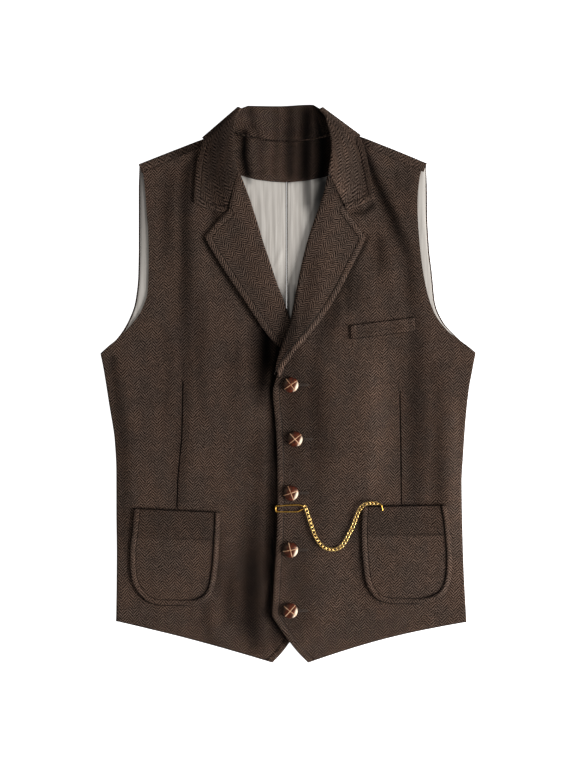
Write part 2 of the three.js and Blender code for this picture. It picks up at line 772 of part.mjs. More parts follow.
// Collar: each section runs from the neck seam up the stand, round the roll and down the fall.

const COLLAR_TURN_STEPS = 4;
const FALL_SHARES = [0.15, 0.35, 0.55, 0.78, 1];
const STAND_SHARES = [0, 0.4, 0.75];
const FALL_LEVEL = COLLAR / 2;
const STAND_LEVEL = BACK_LEVEL + FALL_LIFT + FACING_RISE;

// standEnd and fallEnd are the two ends of the roll, bulge the way its half circle points.
function collarSection(seam, standEnd, fallEnd, bulge, fallPoint) {
  const points = STAND_SHARES.map((share) => new THREE.Vector3().lerpVectors(seam, standEnd, share));
  const centre = new THREE.Vector3().addVectors(standEnd, fallEnd).multiplyScalar(0.5);
  const arm = new THREE.Vector3().subVectors(standEnd, centre);
  const radius = arm.length();
  for (let step = 0; step <= COLLAR_TURN_STEPS; step += 1) {
    const angle = Math.PI * step / COLLAR_TURN_STEPS;
    const point = centre.clone().addScaledVector(arm, Math.cos(angle));
    point.x += bulge.x * radius * Math.sin(angle);
    point.y += bulge.y * radius * Math.sin(angle);
    points.push(point);
  }
  return [...points, ...FALL_SHARES.map(fallPoint)];
}

function leafSections(rows, side, levelAt) {
  return rows.map((row, index) => {
    const across = acrossRoll(rows, index, side);
    const centre = new THREE.Vector2(row.rollX, row.rollY)
      .addScaledVector(across, COLLAR_TURN_RADIUS + COLLAR / 2);
    const level = levelAt(centre.x, centre.y);
    const standEnd = new THREE.Vector3(centre.x, centre.y, level);
    const fallEnd = new THREE.Vector3(centre.x, centre.y, level + 2 * COLLAR_TURN_RADIUS);
    const seam = new THREE.Vector3(row.seamX, row.seamY, levelAt(row.seamX, row.seamY));
    return collarSection(seam, standEnd, fallEnd, across.clone().negate(), (share) => {
      const x = lerp(centre.x, row.outX, share);
      const y = lerp(centre.y, row.outY, share);
      const swell = lerp(2 * COLLAR_TURN_RADIUS - LEAF_STEP, 0, share) + Math.sin(Math.PI * share);
      return new THREE.Vector3(x, y, levelAt(x, y) + LEAF_STEP + swell);
    });
  });
}

const SHOULDER_FOLD_ANGLES = [30, 60, 90, 120, 150, 180];
const FOLD_SET_BACK = 1.6;
const FOLD_TOP_RISE = 0.25;
const FOLD_PROBE = [5, 8];

// The fall turns round the slanting fold, and the stand turns with it inside.
function shoulderFoldSections(fold, side, levelAt) {
  const edge = new THREE.Vector2(fold.outX, fold.outY);
  const top = new THREE.Vector2(fold.topX, fold.topY);
  const along = top.clone().sub(edge).normalize();
  const outward = new THREE.Vector2(-along.y, along.x);
  if (outward.y < 0) outward.negate();
  const seam = new THREE.Vector2(fold.seamX, fold.seamY);
  const foldPoint = (plan, inset, radius, middle, angle) => {
    const reach = radius * Math.sin(angle) - inset;
    return new THREE.Vector3(
      plan.x + outward.x * reach,
      plan.y + outward.y * reach,
      middle + radius * Math.cos(angle),
    );
  };
  const fallRadius = (plan) => {
    const inner = plan.clone().addScaledVector(outward, -FOLD_PROBE[0]);
    return (levelAt(inner.x, inner.y) + LEAF_STEP - FALL_LEVEL) / 2;
  };
  return SHOULDER_FOLD_ANGLES.map((degrees) => {
    const angle = degToRad(degrees);
    const setBack = COLLAR / 2 + FOLD_SET_BACK * Math.sin(angle);
    const rollTop = top.clone().addScaledVector(along, -setBack);
    const rollRadius = fallRadius(rollTop) + FOLD_TOP_RISE * Math.max(Math.cos(angle), 0);
    const fallEnd = foldPoint(rollTop, rollRadius + COLLAR / 2, rollRadius, FALL_LEVEL + rollRadius, angle);
    const frontStand = levelAt(rollTop.x, rollTop.y - FOLD_PROBE[1]);
    const standMiddle = (frontStand + STAND_LEVEL) / 2;
    const standRadius = (frontStand - STAND_LEVEL) / 2;
    const standEnd = foldPoint(rollTop, rollRadius + COLLAR / 2, standRadius, standMiddle, angle);
    const seamEnd = foldPoint(seam, 0, standRadius, standMiddle, angle);
    const bulgeAngle = lerp(side < 0 ? 0 : Math.PI, Math.PI / 2, degrees / 180);
    const bulge = new THREE.Vector2(Math.cos(bulgeAngle), Math.sin(bulgeAngle));
    return collarSection(seamEnd, standEnd, fallEnd, bulge, (share) => {
      const plan = rollTop.clone().lerp(edge, share);
      const radius = lerp(rollRadius, fallRadius(edge), share);
      return foldPoint(plan, radius + COLLAR / 2, radius, FALL_LEVEL + radius, angle);
    });
  });
}

function collarBackSections() {
  const radius = (STAND_LEVEL - FALL_LEVEL) / 2;
  return COLLAR_BACK.map((row) => {
    const rollY = row.rollY - radius - COLLAR / 2;
    const seam = new THREE.Vector3(row.seamX, row.seamY, STAND_LEVEL);
    const standEnd = new THREE.Vector3(row.rollX, rollY, STAND_LEVEL);
    const fallEnd = new THREE.Vector3(row.rollX, rollY, FALL_LEVEL);
    return collarSection(seam, standEnd, fallEnd, new THREE.Vector2(0, 1), (share) => {
      const x = lerp(row.rollX, row.outX, share);
      const y = lerp(rollY, row.outY, share);
      return new THREE.Vector3(x, y, FALL_LEVEL);
    });
  });
}

function collarGrid() {
  return [
    ...leafSections(LEAF_RIGHT, -1, frontRightLevel),
    ...shoulderFoldSections(SHOULDER_FOLD_RIGHT, -1, frontRightLevel),
    ...collarBackSections(),
    ...shoulderFoldSections(SHOULDER_FOLD_LEFT, 1, frontLeftLevel).toReversed(),
    ...leafSections(LEAF_LEFT, 1, frontLeftLevel).toReversed(),
  ];
}

// Pieces that lie on a panel: points of the panel, moved out

const PATCH_GAP = 0.45;
const POCKET_SHARES = [0, 0.05, 0.12, 0.25, 0.4, 0.55, 0.7, 0.85, 0.95, 1];
const POCKET_PUFF = 1.2;
const POCKET_PUFF_LOSS = 0.7;
const BAND_GROOVE = 0.5;

function patchGrid(rows, shares, levelAt, thickness, puffAt) {
  return rows.map((row, index) => shares.map((share) => {
    const x = lerp(row.leftX, row.rightX, share);
    const y = lerp(row.leftY, row.rightY, share);
    const rise = TWEED / 2 + PATCH_GAP + thickness / 2 + puffAt(share, index);
    return new THREE.Vector3(x, y, levelAt(x, y) + rise);
  }));
}

function pocketGrid(rows, levelAt) {
  return patchGrid(rows, POCKET_SHARES, levelAt, TWEED, (share, index) => {
    const down = index / (rows.length - 1);
    const puff = down < 1 ? POCKET_PUFF * Math.sin(Math.PI * share) * (1 - POCKET_PUFF_LOSS * down) : 0;
    return puff - (index === POCKET_BAND_ROWS ? BAND_GROOVE * Math.sin(Math.PI * share) : 0);
  });
}

const WELT_SHARES = [0, 0.1, 0.3, 0.5, 0.7, 0.9, 1];

// Woven leather button: a dome whose two crossing straps stand proud.
const BUTTON_SIDES = 24;
const BUTTON_RINGS = 6;
const STRAP_HEIGHT = 0.5;
const STRAP_SHARPNESS = 3;
const RIM_TURN = 1.15;
const RIM_SHARE = 0.28;
const FOOT_SHARE = 0.8;

// Highest cloth under a button.
function buttonSeat(button) {
  const levels = [frontLeftLevel(button.x, button.y)];
  for (let side = 0; side < BUTTON_SIDES; side += 1) {
    const turn = 2 * Math.PI * side / BUTTON_SIDES;
    const x = button.x + BUTTON_RADIUS * Math.cos(turn);
    const y = button.y + BUTTON_RADIUS * Math.sin(turn);
    levels.push(frontLeftLevel(x, y));
  }
  return Math.max(...levels);
}

function buttonGeometry(x, y, z) {
  const foot = FOOT_SHARE * BUTTON_RADIUS;
  const positions = [x, y, z + BUTTON_HEIGHT + STRAP_HEIGHT];
  for (let ring = 1; ring <= BUTTON_RINGS; ring += 1) {
    const angle = (Math.PI / 2) * (ring / BUTTON_RINGS) * RIM_TURN;
    const radius = BUTTON_RADIUS * Math.sin(angle);
    for (let side = 0; side < BUTTON_SIDES; side += 1) {
      const turn = 2 * Math.PI * side / BUTTON_SIDES;
      const strap = STRAP_HEIGHT * Math.abs(Math.sin(2 * turn)) ** STRAP_SHARPNESS;
      const height = Math.max(0, BUTTON_HEIGHT * lerp(RIM_SHARE, 1, Math.cos(angle)) + strap);
      positions.push(x + radius * Math.cos(turn), y + radius * Math.sin(turn), z + height);
    }
  }
  for (let side = 0; side < BUTTON_SIDES; side += 1) {
    const turn = 2 * Math.PI * side / BUTTON_SIDES;
    positions.push(x + foot * Math.cos(turn), y + foot * Math.sin(turn), z);
  }
  positions.push(x, y, z);
  const indices = [];
  for (let side = 0; side < BUTTON_SIDES; side += 1) {
    const next = (side + 1) % BUTTON_SIDES;
    indices.push(0, 1 + side, 1 + next);
    for (let ring = 0; ring < BUTTON_RINGS; ring += 1) {
      const inner = 1 + ring * BUTTON_SIDES;
      const outer = inner + BUTTON_SIDES;
      indices.push(inner + side, outer + side, outer + next, inner + side, outer + next, inner + next);
    }
    const rim = 1 + BUTTON_RINGS * BUTTON_SIDES;
    indices.push(rim + side, rim + BUTTON_SIDES, rim + next);
  }
  const geometry = new THREE.BufferGeometry();
  geometry.setAttribute("position", new THREE.Float32BufferAttribute(positions, 3));
  geometry.setIndex(indices);
  return faceOut(geometry);
}

// Chain and wires

function polygon(radius, sides) {
  const corners = Array.from({ length: sides }, (_, index) => {
    const angle = 2 * Math.PI * index / sides;
    return new THREE.Vector2(radius * Math.cos(angle), radius * Math.sin(angle));
  });
  return new THREE.Shape(corners);
}

const MERGE_DISTANCE = 1e-4;

function tubeGeometry(points, diameter, sides, steps) {
  const curve = new THREE.CatmullRomCurve3(points, false, "centripetal");
  const geometry = new THREE.ExtrudeGeometry(polygon(diameter / 2, sides), {
    extrudePath: curve,
    steps,
    bevelEnabled: false,
  });
  geometry.deleteAttribute("normal");
  geometry.deleteAttribute("uv");
  return faceOut(mergeVertices(geometry, MERGE_DISTANCE));
}

const CHAIN_SIDES = 8;
const CHAIN_STEPS = 60;
const CHAIN_CLEARANCE = 0.6;

function chainPoints() {
  return CHAIN_ROUTE.map((row) => {
    const rise = TWEED / 2 + CHAIN_CLEARANCE + CHAIN_DIAMETER / 2 + row.raise;
    return new THREE.Vector3(row.x, row.y, frontLeftLevel(row.x, row.y) + rise);
  });
}

const WIRE_SIDES = 6;
const CLIP_STEPS = 26;
const HOOK_STEPS = 14;

const CLIP_GAP = 0.4;
const CLIP_BEND_X = -12;

// Hairpin of wire on the left front: its closed end dips over the front's edge.
const CLIP_ROUTE = table(["x", "y", "rise"], [
  [21.2, -153.35, 1.75],
  [12.2, -151.3, 0],
  [0, -151.6, 0],
  [-9.6, -152.4, 0],
  [-14.2, -152.6, -0.1],
  [-15.4, -153.6, -1],
  [-15.5, -156.2, -1.2],
  [-15.4, -158.8, -1],
  [-14.2, -159.7, -0.1],
  [-9.6, -159.8, 0],
  [0, -159.8, 0],
  [11.2, -159.8, 0],
  [18.2, -156.6, 0.6],
]);

function clipPoints() {
  return CLIP_ROUTE.map((row) => {
    const panelX = Math.max(row.x, CLIP_BEND_X);
    const rise = TWEED / 2 + CLIP_GAP + WIRE_DIAMETER / 2 + row.rise;
    return new THREE.Vector3(row.x, row.y, frontLeftLevel(panelX, row.y) + rise);
  });
}

// Hook that carries the chain's end over the pocket mouth.
const HOOK_ROUTE = table(["x", "y", "rise"], [
  [109.35, -149, 6.1],
  [113, -149.3, 6],
  [115.4, -150.8, 5.8],
  [116.8, -153.2, 5.4],
  [117.3, -156, 5],
  [117.4, -158.6, 4.8],
]);

function hookPoints() {
  return HOOK_ROUTE.map((row) => {
    const level = frontLeftLevel(row.x, row.y);
    return new THREE.Vector3(row.x, row.y, level + row.rise);
  });
}

// Materials

function material(colour, roughness, metalness) {
  return new THREE.MeshStandardMaterial({ color: colour, roughness, metalness });
}

const tweed = () => material(COLOURS.tweed, 0.95, 0);
const satin = () => material(COLOURS.lining, 0.5, 0);
const leather = () => material(COLOURS.leather, 0.35, 0);
const gold = () => material(COLOURS.gold, 0.25, 1);

const group = new THREE.Group();

function addPiece(name, geometry, finish) {
  const mesh = new THREE.Mesh(geometry, finish);
  mesh.name = name;
  group.add(mesh);
}

addPiece("back_right", wall(backGrid(BACK_RIGHT, YOKE_RIGHT, -1, frontRightLevel), TWEED), tweed());
addPiece("back_left", wall(backGrid(BACK_LEFT, YOKE_LEFT, 1, frontLeftLevel), TWEED), tweed());
addPiece("lining_right", wall(liningGrid(LINING_RIGHT, LINING_TOP_RIGHT, LINING_RISE), LINING), satin());
addPiece("lining_left", wall(liningGrid(LINING_LEFT, LINING_TOP_LEFT, LINING_RISE), LINING), satin());
addPiece("neck_facing", wall(neckFacingGrid(), FACING), tweed());
addPiece("front_right", wall(frontGrid(FRONT_RIGHT, -1, frontRightLevel), TWEED), tweed());
addPiece("front_left", wall(frontGrid(FRONT_LEFT, 1, frontLeftLevel), TWEED), tweed());
addPiece("lapel_right", wall(lapelGrid(LAPEL_RIGHT, -1, frontRightLevel), LAPEL), tweed());
addPiece("lapel_left", wall(lapelGrid(LAPEL_LEFT, 1, frontLeftLevel), LAPEL), tweed());
addPiece("collar", wall(collarGrid(), COLLAR), tweed());
addPiece("pocket_right", wall(pocketGrid(POCKET_RIGHT, frontRightLevel), TWEED), tweed());
addPiece("pocket_left", wall(pocketGrid(POCKET_LEFT, frontLeftLevel), TWEED), tweed());
addPiece("welt", wall(patchGrid(WELT, WELT_SHARES, frontLeftLevel, TWEED, () => 0), TWEED), tweed());
BUTTONS.forEach((button, index) => {
  const seat = buttonSeat(button) + TWEED / 2 + SEAM_GAP;
  addPiece(`button_${index + 1}`, buttonGeometry(button.x, button.y, seat), leather());
});
addPiece("watch_chain", tubeGeometry(chainPoints(), CHAIN_DIAMETER, CHAIN_SIDES, CHAIN_STEPS), gold());
addPiece("chain_clip", tubeGeometry(clipPoints(), WIRE_DIAMETER, WIRE_SIDES, CLIP_STEPS), gold());
addPiece("chain_hook", tubeGeometry(hookPoints(), WIRE_DIAMETER, WIRE_SIDES, HOOK_STEPS), gold());

export default group;
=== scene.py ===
"""Looks of the suit waistcoat, laid flat on its back and seen from straight above.
Tables and cloth levels are in millimetres, as in the part's source. Meshes are made in metres."""
import math

import bpy
import numpy as np
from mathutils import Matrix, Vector


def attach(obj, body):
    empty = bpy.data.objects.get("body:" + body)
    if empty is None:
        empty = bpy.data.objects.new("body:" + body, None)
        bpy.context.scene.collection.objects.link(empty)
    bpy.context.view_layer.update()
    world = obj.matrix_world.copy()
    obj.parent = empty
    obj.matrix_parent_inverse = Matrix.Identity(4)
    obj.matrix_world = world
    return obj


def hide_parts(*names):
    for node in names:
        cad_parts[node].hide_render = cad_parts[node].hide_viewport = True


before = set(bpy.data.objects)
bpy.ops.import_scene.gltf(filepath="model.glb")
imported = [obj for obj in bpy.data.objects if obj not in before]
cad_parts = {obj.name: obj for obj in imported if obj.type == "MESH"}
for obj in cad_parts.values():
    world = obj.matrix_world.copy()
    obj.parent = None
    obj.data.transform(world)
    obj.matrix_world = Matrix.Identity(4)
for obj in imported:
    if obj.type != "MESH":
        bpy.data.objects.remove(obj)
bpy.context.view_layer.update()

MM = 0.001
BODY = "root"

# Walls
TWEED = 1.6
LINING = 1.0
FACING = 1.0
LAPEL = 1.8
COLLAR = 1.6
SEAM_GAP = 0.3
PLY_GAP = 0.45

# Heights of the middle of each wall, from the surface up
BACK_LEVEL = TWEED / 2
LINING_RISE = TWEED / 2 + PLY_GAP + LINING / 2
FACING_RISE = TWEED / 2 + PLY_GAP + FACING / 2
FRONT_LEVEL = BACK_LEVEL + LINING_RISE + LINING / 2 + PLY_GAP + TWEED / 2
OVERLAP_STEP = 2.1
FACING_STEP = 2.5
LAPEL_STEP = 2.3
LEAF_STEP = 2.2

# Turned edges
SIDE_TURN_RADIUS = (FRONT_LEVEL - BACK_LEVEL) / 2
SIDE_SEAM_GAP = 0.45
LAPEL_TURN_RADIUS = LAPEL_STEP
COLLAR_TURN_RADIUS = 1.3
FACING_TUCK = 8

# Centre lines and the collar's fall under the back neck
CENTRE_BACK_X = -1.9
NECK_CENTRE_X = -9.6
FALL_LIFT = 2.2
FALL_EDGE_Y = 289
FALL_EDGE_CURVE = 17
FALL_HALF_WIDTH = 97
FALL_RAMP = (36, 6)
FALL_END_SLOPE = 28
NECK_TURN = 0.12

# Buttons, chain and clip
BUTTON_RADIUS = 9.6
BUTTON_HEIGHT = 6.2
CHAIN_WIDTH = 5.0
CHAIN_PITCH = 4.7
WIRE_DIAMETER = 1.5

# Camera straight above, far enough for the photo's flat look
PICTURE_HEIGHT = 0.96
SENSOR = 36
LENS = 85
CAMERA_X = -0.0001
CAMERA_Y = -0.0006


def table(columns, rows):
    """Named columns as arrays."""
    return dict(zip(columns, np.array(rows, float).T))


def read_table(rows, source, target, at):
    """Column target where column source, which rises down the table, equals at."""
    return np.interp(at, rows[source], rows[target])


def lerp(low, high, share):
    return low + (high - low) * share


def smoothstep(value, low, high):
    share = np.clip((value - low) / (high - low), 0, 1)
    return share * share * (3 - 2 * share)


def smooth_curve(knots, values, at):
    """Smooth curve through the values that never overshoots them."""
    gaps = np.diff(knots)
    slopes = np.diff(values) / gaps
    tangents = np.concatenate([slopes[:1], np.zeros(len(slopes) - 1), slopes[-1:]])
    same_way = slopes[:-1] * slopes[1:] > 0
    before = slopes[:-1][same_way]
    after = slopes[1:][same_way]
    tangents[1:-1][same_way] = 2 * before * after / (before + after)
    index = np.clip(np.searchsorted(knots, at, side="right") - 1, 0, len(gaps) - 1)
    span = gaps[index]
    share = (at - knots[index]) / span
    rest = 1 - share
    start = values[index] * (1 + 2 * share) * rest ** 2 + span * tangents[index] * share * rest ** 2
    end = values[index + 1] * (3 - 2 * share) * share ** 2 - span * tangents[index + 1] * rest * share ** 2
    return start + end


def smooth_rows(rows, step, corners=()):
    """A table with smooth rows between its own, at most step apart. Corners stay sharp."""
    data = np.array(list(rows.values()))
    knots = np.concatenate([[0], np.cumsum(np.abs(np.diff(data[:4], axis=1)).max(axis=0))])
    stops = [0, *corners, len(knots) - 1]
    parts = []
    for first, last in zip(stops, stops[1:]):
        count = max(math.ceil((knots[last] - knots[first]) / step), 1)
        at = np.linspace(knots[first], knots[last], count + 1)
        own = slice(first, last + 1)
        part = np.array([smooth_curve(knots[own], column[own], at) for column in data])
        parts.append(part if last == stops[-1] else part[:, :-1])
    return dict(zip(rows, np.concatenate(parts, axis=1)))


# Lapel sections from the gorge down: roll is the turned edge, out the lapel's free outline.
LAPEL_COLUMNS = ["roll_x", "roll_y", "out_x", "out_y"]
LAPEL_RIGHT = table(LAPEL_COLUMNS, [
    [-60.4, 263.6, -75.9, 211.7],
    [-54, 247, -77.3, 210.9],
    [-47.5, 229.5, -87, 203.2],
    [-42.5, 214, -104, 182.7],
    [-37.4, 198, -97, 169.5],
    [-31.4, 178, -88.5, 155.5],
    [-23.9, 155.7, -72.6, 130.7],
    [-13.9, 125.7, -57, 107.5],
    [-3.9, 99.4, -42, 84.5],
    [2.4, 79.4, -31.4, 68.5],
    [8.6, 56.9, -20, 54],
    [15, 34, -2, 37.4],
])
LAPEL_LEFT = table(LAPEL_COLUMNS, [
    [48.6, 259.2, 71.6, 215.8],
    [46, 244, 72.6, 214.5],
    [42.3, 231.5, 84.9, 198.4],
    [38.2, 219, 96.9, 181.9],
    [32.6, 204, 90.8, 168],
    [25.4, 182.4, 81.1, 149.4],
    [18, 154.4, 67.4, 121.5],
    [12.6, 129.4, 52.8, 96.5],
    [7.8, 104.4, 37.8, 75],
    [3, 80.7, 22.4, 55.7],
    [-0.4, 70, 15.6, 47.7],
    [-3.9, 59.4, 9.2, 40],
    [-7.6, 48, 2.8, 31],
    [-11.4, 36.9, -3.3, 22.5],
    [-14.2, 26, -7.6, 14],
    [-16.4, 15.7, -11.5, 6],
])
LAPEL_TIP_ROW = 3

# Collar leaf sections from the gorge up: roll edge, free edge and the neck seam hidden under it.
LEAF_COLUMNS = ["roll_x", "roll_y", "out_x", "out_y", "seam_x", "seam_y"]
LEAF_RIGHT = table(LEAF_COLUMNS, [
    [-61.3, 265.2, -77.4, 213.6, -64.2, 264.2],
    [-64.4, 272, -96.4, 216.3, -69, 268],
    [-67.1, 283.2, -117.6, 225.7, -73.5, 276],
    [-67.6, 294.4, -116.5, 243, -75.2, 285],
    [-67.4, 306.9, -115, 264, -75.5, 296],
    [-66.6, 320.7, -112, 284.5, -75, 305.5],
    [-64.5, 334, -107.8, 298, -74, 313],
])
LEAF_LEFT = table(LEAF_COLUMNS, [
    [49.4, 260.6, 72.4, 216.6, 52.4, 259.8],
    [51, 269.8, 88, 221.5, 56, 266],
    [52.9, 282, 108.4, 231, 60, 275],
    [53.6, 295.7, 105.4, 247.5, 61.8, 286],
    [52.1, 310, 100.8, 269.5, 62, 298],
    [48.6, 323, 96.6, 289, 61.5, 307],
    [45.2, 334.2, 91.8, 301.6, 60.5, 312.5],
])
LEAF_TIP_ROW = 2

# Collar back sections across the neck: top fold, hidden free edge of the fall, and neck seam.
COLLAR_BACK = table(LEAF_COLUMNS, [
    [-50, 346.9, -84, 299, -60, 312],
    [-38, 346.6, -60, 292.5, -44, 308.3],
    [-25, 346.4, -35, 289.5, -26, 304.7],
    [-10, 346.3, -9.6, 288.8, -9.6, 303.4],
    [5, 347, 16, 289.5, 7, 303.5],
    [19, 347.9, 41, 292, 24, 305.4],
    [31, 348.2, 66, 299.5, 42, 308.6],
])

# Slanting folds where the fall passes over the shoulder: outline from the free edge to the top.
SHOULDER_FOLD_RIGHT = {"out": (-107.4, 307), "top": (-62, 346), "seam": (-73, 315.6)}
SHOULDER_FOLD_LEFT = {"out": (90.8, 310), "top": (42.6, 345.6), "seam": (60, 315.4)}

# Front sections from the hem up: side end, centre or armhole end, upward bow, turn at the side.
FRONT_COLUMNS = ["side_x", "side_y", "edge_x", "edge_y", "bow", "turn"]
FRONT_RIGHT = table(FRONT_COLUMNS, [
    [-215, -297, -19.5, -348.3, 2, 1],
    [-214.6, -282, -7, -335, 2, 1],
    [-214.3, -266, 7, -315, 1, 1],
    [-214.2, -245.5, 26, -287, 0, 1],
    [-214, -210.5, 23, -239, 0, 1],
    [-214.5, -163, 19.5, -183, 0, 1],
    [-214.6, -110.6, 19, -133, 0, 1],
    [-216.5, -72, 20, -83, 0, 1],
    [-223.8, -24, 22.5, -45.6, 0, 1],
    [-228.8, 8, 24.5, -10, 0, 1],
    [-231.6, 24, 19.5, 7, 0, 1],
    [-234.4, 37.2, 11, 39.4, 0, 1],
    [-224, 46.5, 4.5, 62, 0, 0.45],
    [-213.4, 55.7, -1.4, 82.7, 0, 0],
    [-195.5, 73.6, -10.5, 110, 0, 0],
    [-183, 91.4, -21.6, 139.6, 0, 0],
    [-175, 117, -33.7, 174, 0, 0],
    [-174, 154.4, -46.2, 213.7, 0, 0],
    [-174.5, 190, -57, 245, 0, 0],
    [-176.4, 212, -64.8, 262.5, 0, 0],
    [-177.2, 225, -70, 267.6, 0, 0],
    [-178, 236, -74.4, 276.5, 0, 0],
    [-178.8, 244, -76.2, 285.5, 0, 0],
    [-179.6, 252, -76.4, 294, 0, 0],
    [-180.6, 259, -76.4, 302, 0, 0],
    [-181.5, 265, -76.4, 308.6, 0, 0],
])
FRONT_LEFT = table(FRONT_COLUMNS, [
    [223, -298, 25, -348.3, 5, 1],
    [222, -284, 14, -337, 4, 1],
    [221, -270, 1.7, -322, 3, 1],
    [220, -250, -20, -290, 1, 1],
    [219, -220.6, -17, -238.4, 0, 1],
    [217, -183, -14, -189, 0, 1],
    [216.4, -136.4, -13, -139.3, 0, 1],
    [219, -85.3, -13.5, -89.3, 0, 1],
    [222.8, -34.3, -15.8, -46.8, 0, 1],
    [227, 0, -18.9, -10, 0, 1],
    [229.4, 12, -15.4, 4, 0, 1],
    [231.4, 23, -13, 14, 0, 1],
    [233, 31, -11.2, 23.5, 0, 1],
    [234.4, 38.4, -9.3, 33.3, 0, 1],
    [229.4, 42.4, -7, 41, 0, 0.8],
    [225, 46, -4.6, 49, 0, 0.45],
    [214, 54.4, -0.4, 62, 0, 0],
    [205, 60.6, 3.9, 75, 0, 0],
    [197, 68, 7.9, 88, 0, 0],
    [188, 79, 11.4, 103, 0, 0],
    [181, 91.4, 14.6, 118, 0, 0],
    [172.8, 117, 22, 150, 0, 0],
    [166, 157, 35.5, 202, 0, 0],
    [162.6, 195, 47, 236.3, 0, 0],
    [161.6, 215, 52.8, 256.5, 0, 0],
    [161.5, 225, 57, 265.6, 0, 0],
    [161.8, 236, 61.3, 275.6, 0, 0],
    [162.6, 245, 62.8, 285, 0, 0],
    [163.6, 253, 62.8, 294, 0, 0],
    [164.8, 260, 62.8, 303, 0, 0],
    [166.4, 266.2, 62.8, 310.2, 0, 0],
])
CUTAWAY_ROW = 3
ARMPIT_RIGHT_ROW = 11
ARMPIT_LEFT_ROW = 13

# Back sections from the hem up: the side seam, then the armhole. The top row starts the yoke.
BACK_COLUMNS = ["side_x", "side_y", "centre_y", "turn"]
BACK_RIGHT = table(BACK_COLUMNS, [
    [-215, -297, -301, 1],
    [-214, -210.5, -210, 1],
    [-214.6, -110.6, -110, 1],
    [-216.5, -72, -72, 1],
    [-223.8, -24, -24, 1],
    [-228.8, 8, 8, 1],
    [-234.4, 37.2, 42, 1],
    [-224, 46.5, 60, 0.45],
    [-213.4, 56.4, 78, 0],
    [-200.5, 76, 98, 0],
    [-191, 101.5, 122, 0],
    [-187.2, 135.7, 150, 0],
    [-186.6, 173.2, 180, 0],
    [-186.6, 215, 215, 0],
    [-186.6, 246, 246, 0],
])
BACK_LEFT = table(BACK_COLUMNS, [
    [223, -298, -301, 1],
    [218.8, -210.5, -210, 1],
    [217, -110.6, -110, 1],
    [219.8, -72, -72, 1],
    [223.8, -24, -24, 1],
    [228.4, 8, 8, 1],
    [234.4, 38.4, 42, 1],
    [225, 46, 60, 0.45],
    [214.5, 54.6, 78, 0],
    [193, 78, 98, 0],
    [183.6, 100.9, 122, 0],
    [180, 135.7, 150, 0],
    [176.2, 169.2, 180, 0],
    [174, 210, 215, 0],
    [173.6, 246, 246, 0],
])
BACK_ARMPIT_ROW = 6

# Top of the back: over the shoulder, then along the neck. turn is the share of a half turn,
# width how far the turned part reaches in front of the shoulder.
YOKE_COLUMNS = ["x", "y", "turn", "width"]
YOKE_RIGHT = table(YOKE_COLUMNS, [
    [-184.2, 274.8, 1, 9.6],
    [-162, 283.6, 1, 9.1],
    [-142, 291.5, 1, 8.7],
    [-126, 297.6, 1, 8.3],
    [-113, 302.4, 1, 7.6],
    [-101, 306.7, 1, 7],
    [-90, 310.6, 1, 6.4],
    [-79.4, 313.8, NECK_TURN, 1],
    [-62, 310.6, NECK_TURN, 1],
    [-48, 307.2, NECK_TURN, 1],
    [-24, 303.6, NECK_TURN, 1],
    [CENTRE_BACK_X - SEAM_GAP / 2, 302.6, NECK_TURN, 1],
])
YOKE_LEFT = table(YOKE_COLUMNS, [
    [171, 276, 1, 9.2],
    [150, 284.8, 1, 9],
    [131, 292.6, 1, 8.6],
    [114, 299.2, 1, 8],
    [101, 304.2, 1, 7.4],
    [89, 308.4, 1, 6.9],
    [77.6, 312.4, 1, 6.4],
    [66, 315, NECK_TURN, 1],
    [52, 310.4, NECK_TURN, 1],
    [38, 306.6, NECK_TURN, 1],
    [18, 303.8, NECK_TURN, 1],
    [CENTRE_BACK_X + SEAM_GAP / 2, 302.6, NECK_TURN, 1],
])
YOKE_NECK_ROW = 7

# Lining sections from below the neck opening up, then its top edge along shoulder and facing.
LINING_RIGHT = table(BACK_COLUMNS, [
    [-209, 57, 48, 0],
    [-197.6, 77, 76, 0],
    [-189, 101.5, 104, 0],
    [-185.2, 135.7, 137, 0],
    [-184.6, 173.2, 175, 0],
    [-184.6, 215, 210, 0],
    [-184.6, 246, 228, 0],
])
LINING_LEFT = table(BACK_COLUMNS, [
    [209, 57, 48, 0],
    [190.2, 79, 76, 0],
    [181.6, 100.9, 104, 0],
    [178, 135.7, 137, 0],
    [174.2, 169.2, 175, 0],
    [172, 210, 210, 0],
    [171.6, 246, 228, 0],
])
LINING_TOP_RIGHT = table(["x", "y"], [
    [-184.4, 270],
    [-164, 278.2],
    [-144, 286.2],
    [-131, 291],
    [-120, 295],
    [-110, 298.4],
    [-101.4, 301],
    [-92, 289.6],
    [-80.4, 275.2],
    [-65.2, 261.5],
    [-40.6, 254.6],
    [-21.5, 252.1],
    [CENTRE_BACK_X - SEAM_GAP / 2, 250.9],
])
LINING_TOP_LEFT = table(["x", "y"], [
    [171.4, 270.8],
    [152, 279.4],
    [133, 287.2],
    [120, 292.4],
    [109, 296.4],
    [100, 299.4],
    [91.4, 301],
    [82, 291],
    [73, 280.6],
    [62, 268.6],
    [47.4, 258.2],
    [21.5, 253.1],
    [CENTRE_BACK_X + SEAM_GAP / 2, 250.9],
])

# Neck facing: lower and upper edge.
NECK_FACING = table(["low_x", "low_y", "top_x", "top_y"], [
    [-100, 300.6, -97, 303.2],
    [-91, 289, -87, 306],
    [-80, 275.8, -77, 308.4],
    [-65, 262.1, -61, 309.6],
    [-40.6, 255.2, -44.4, 305.8],
    [-21.5, 252.7, -25, 302.6],
    [1.5, 251.6, -3, 301.4],
    [21.5, 253.7, 20, 302.8],
    [47.4, 258.9, 42, 306.2],
    [62, 269.4, 58.6, 309.6],
    [73, 281.4, 70, 308],
    [82, 291.8, 78.4, 305.6],
    [90, 300.6, 86.6, 303],
])

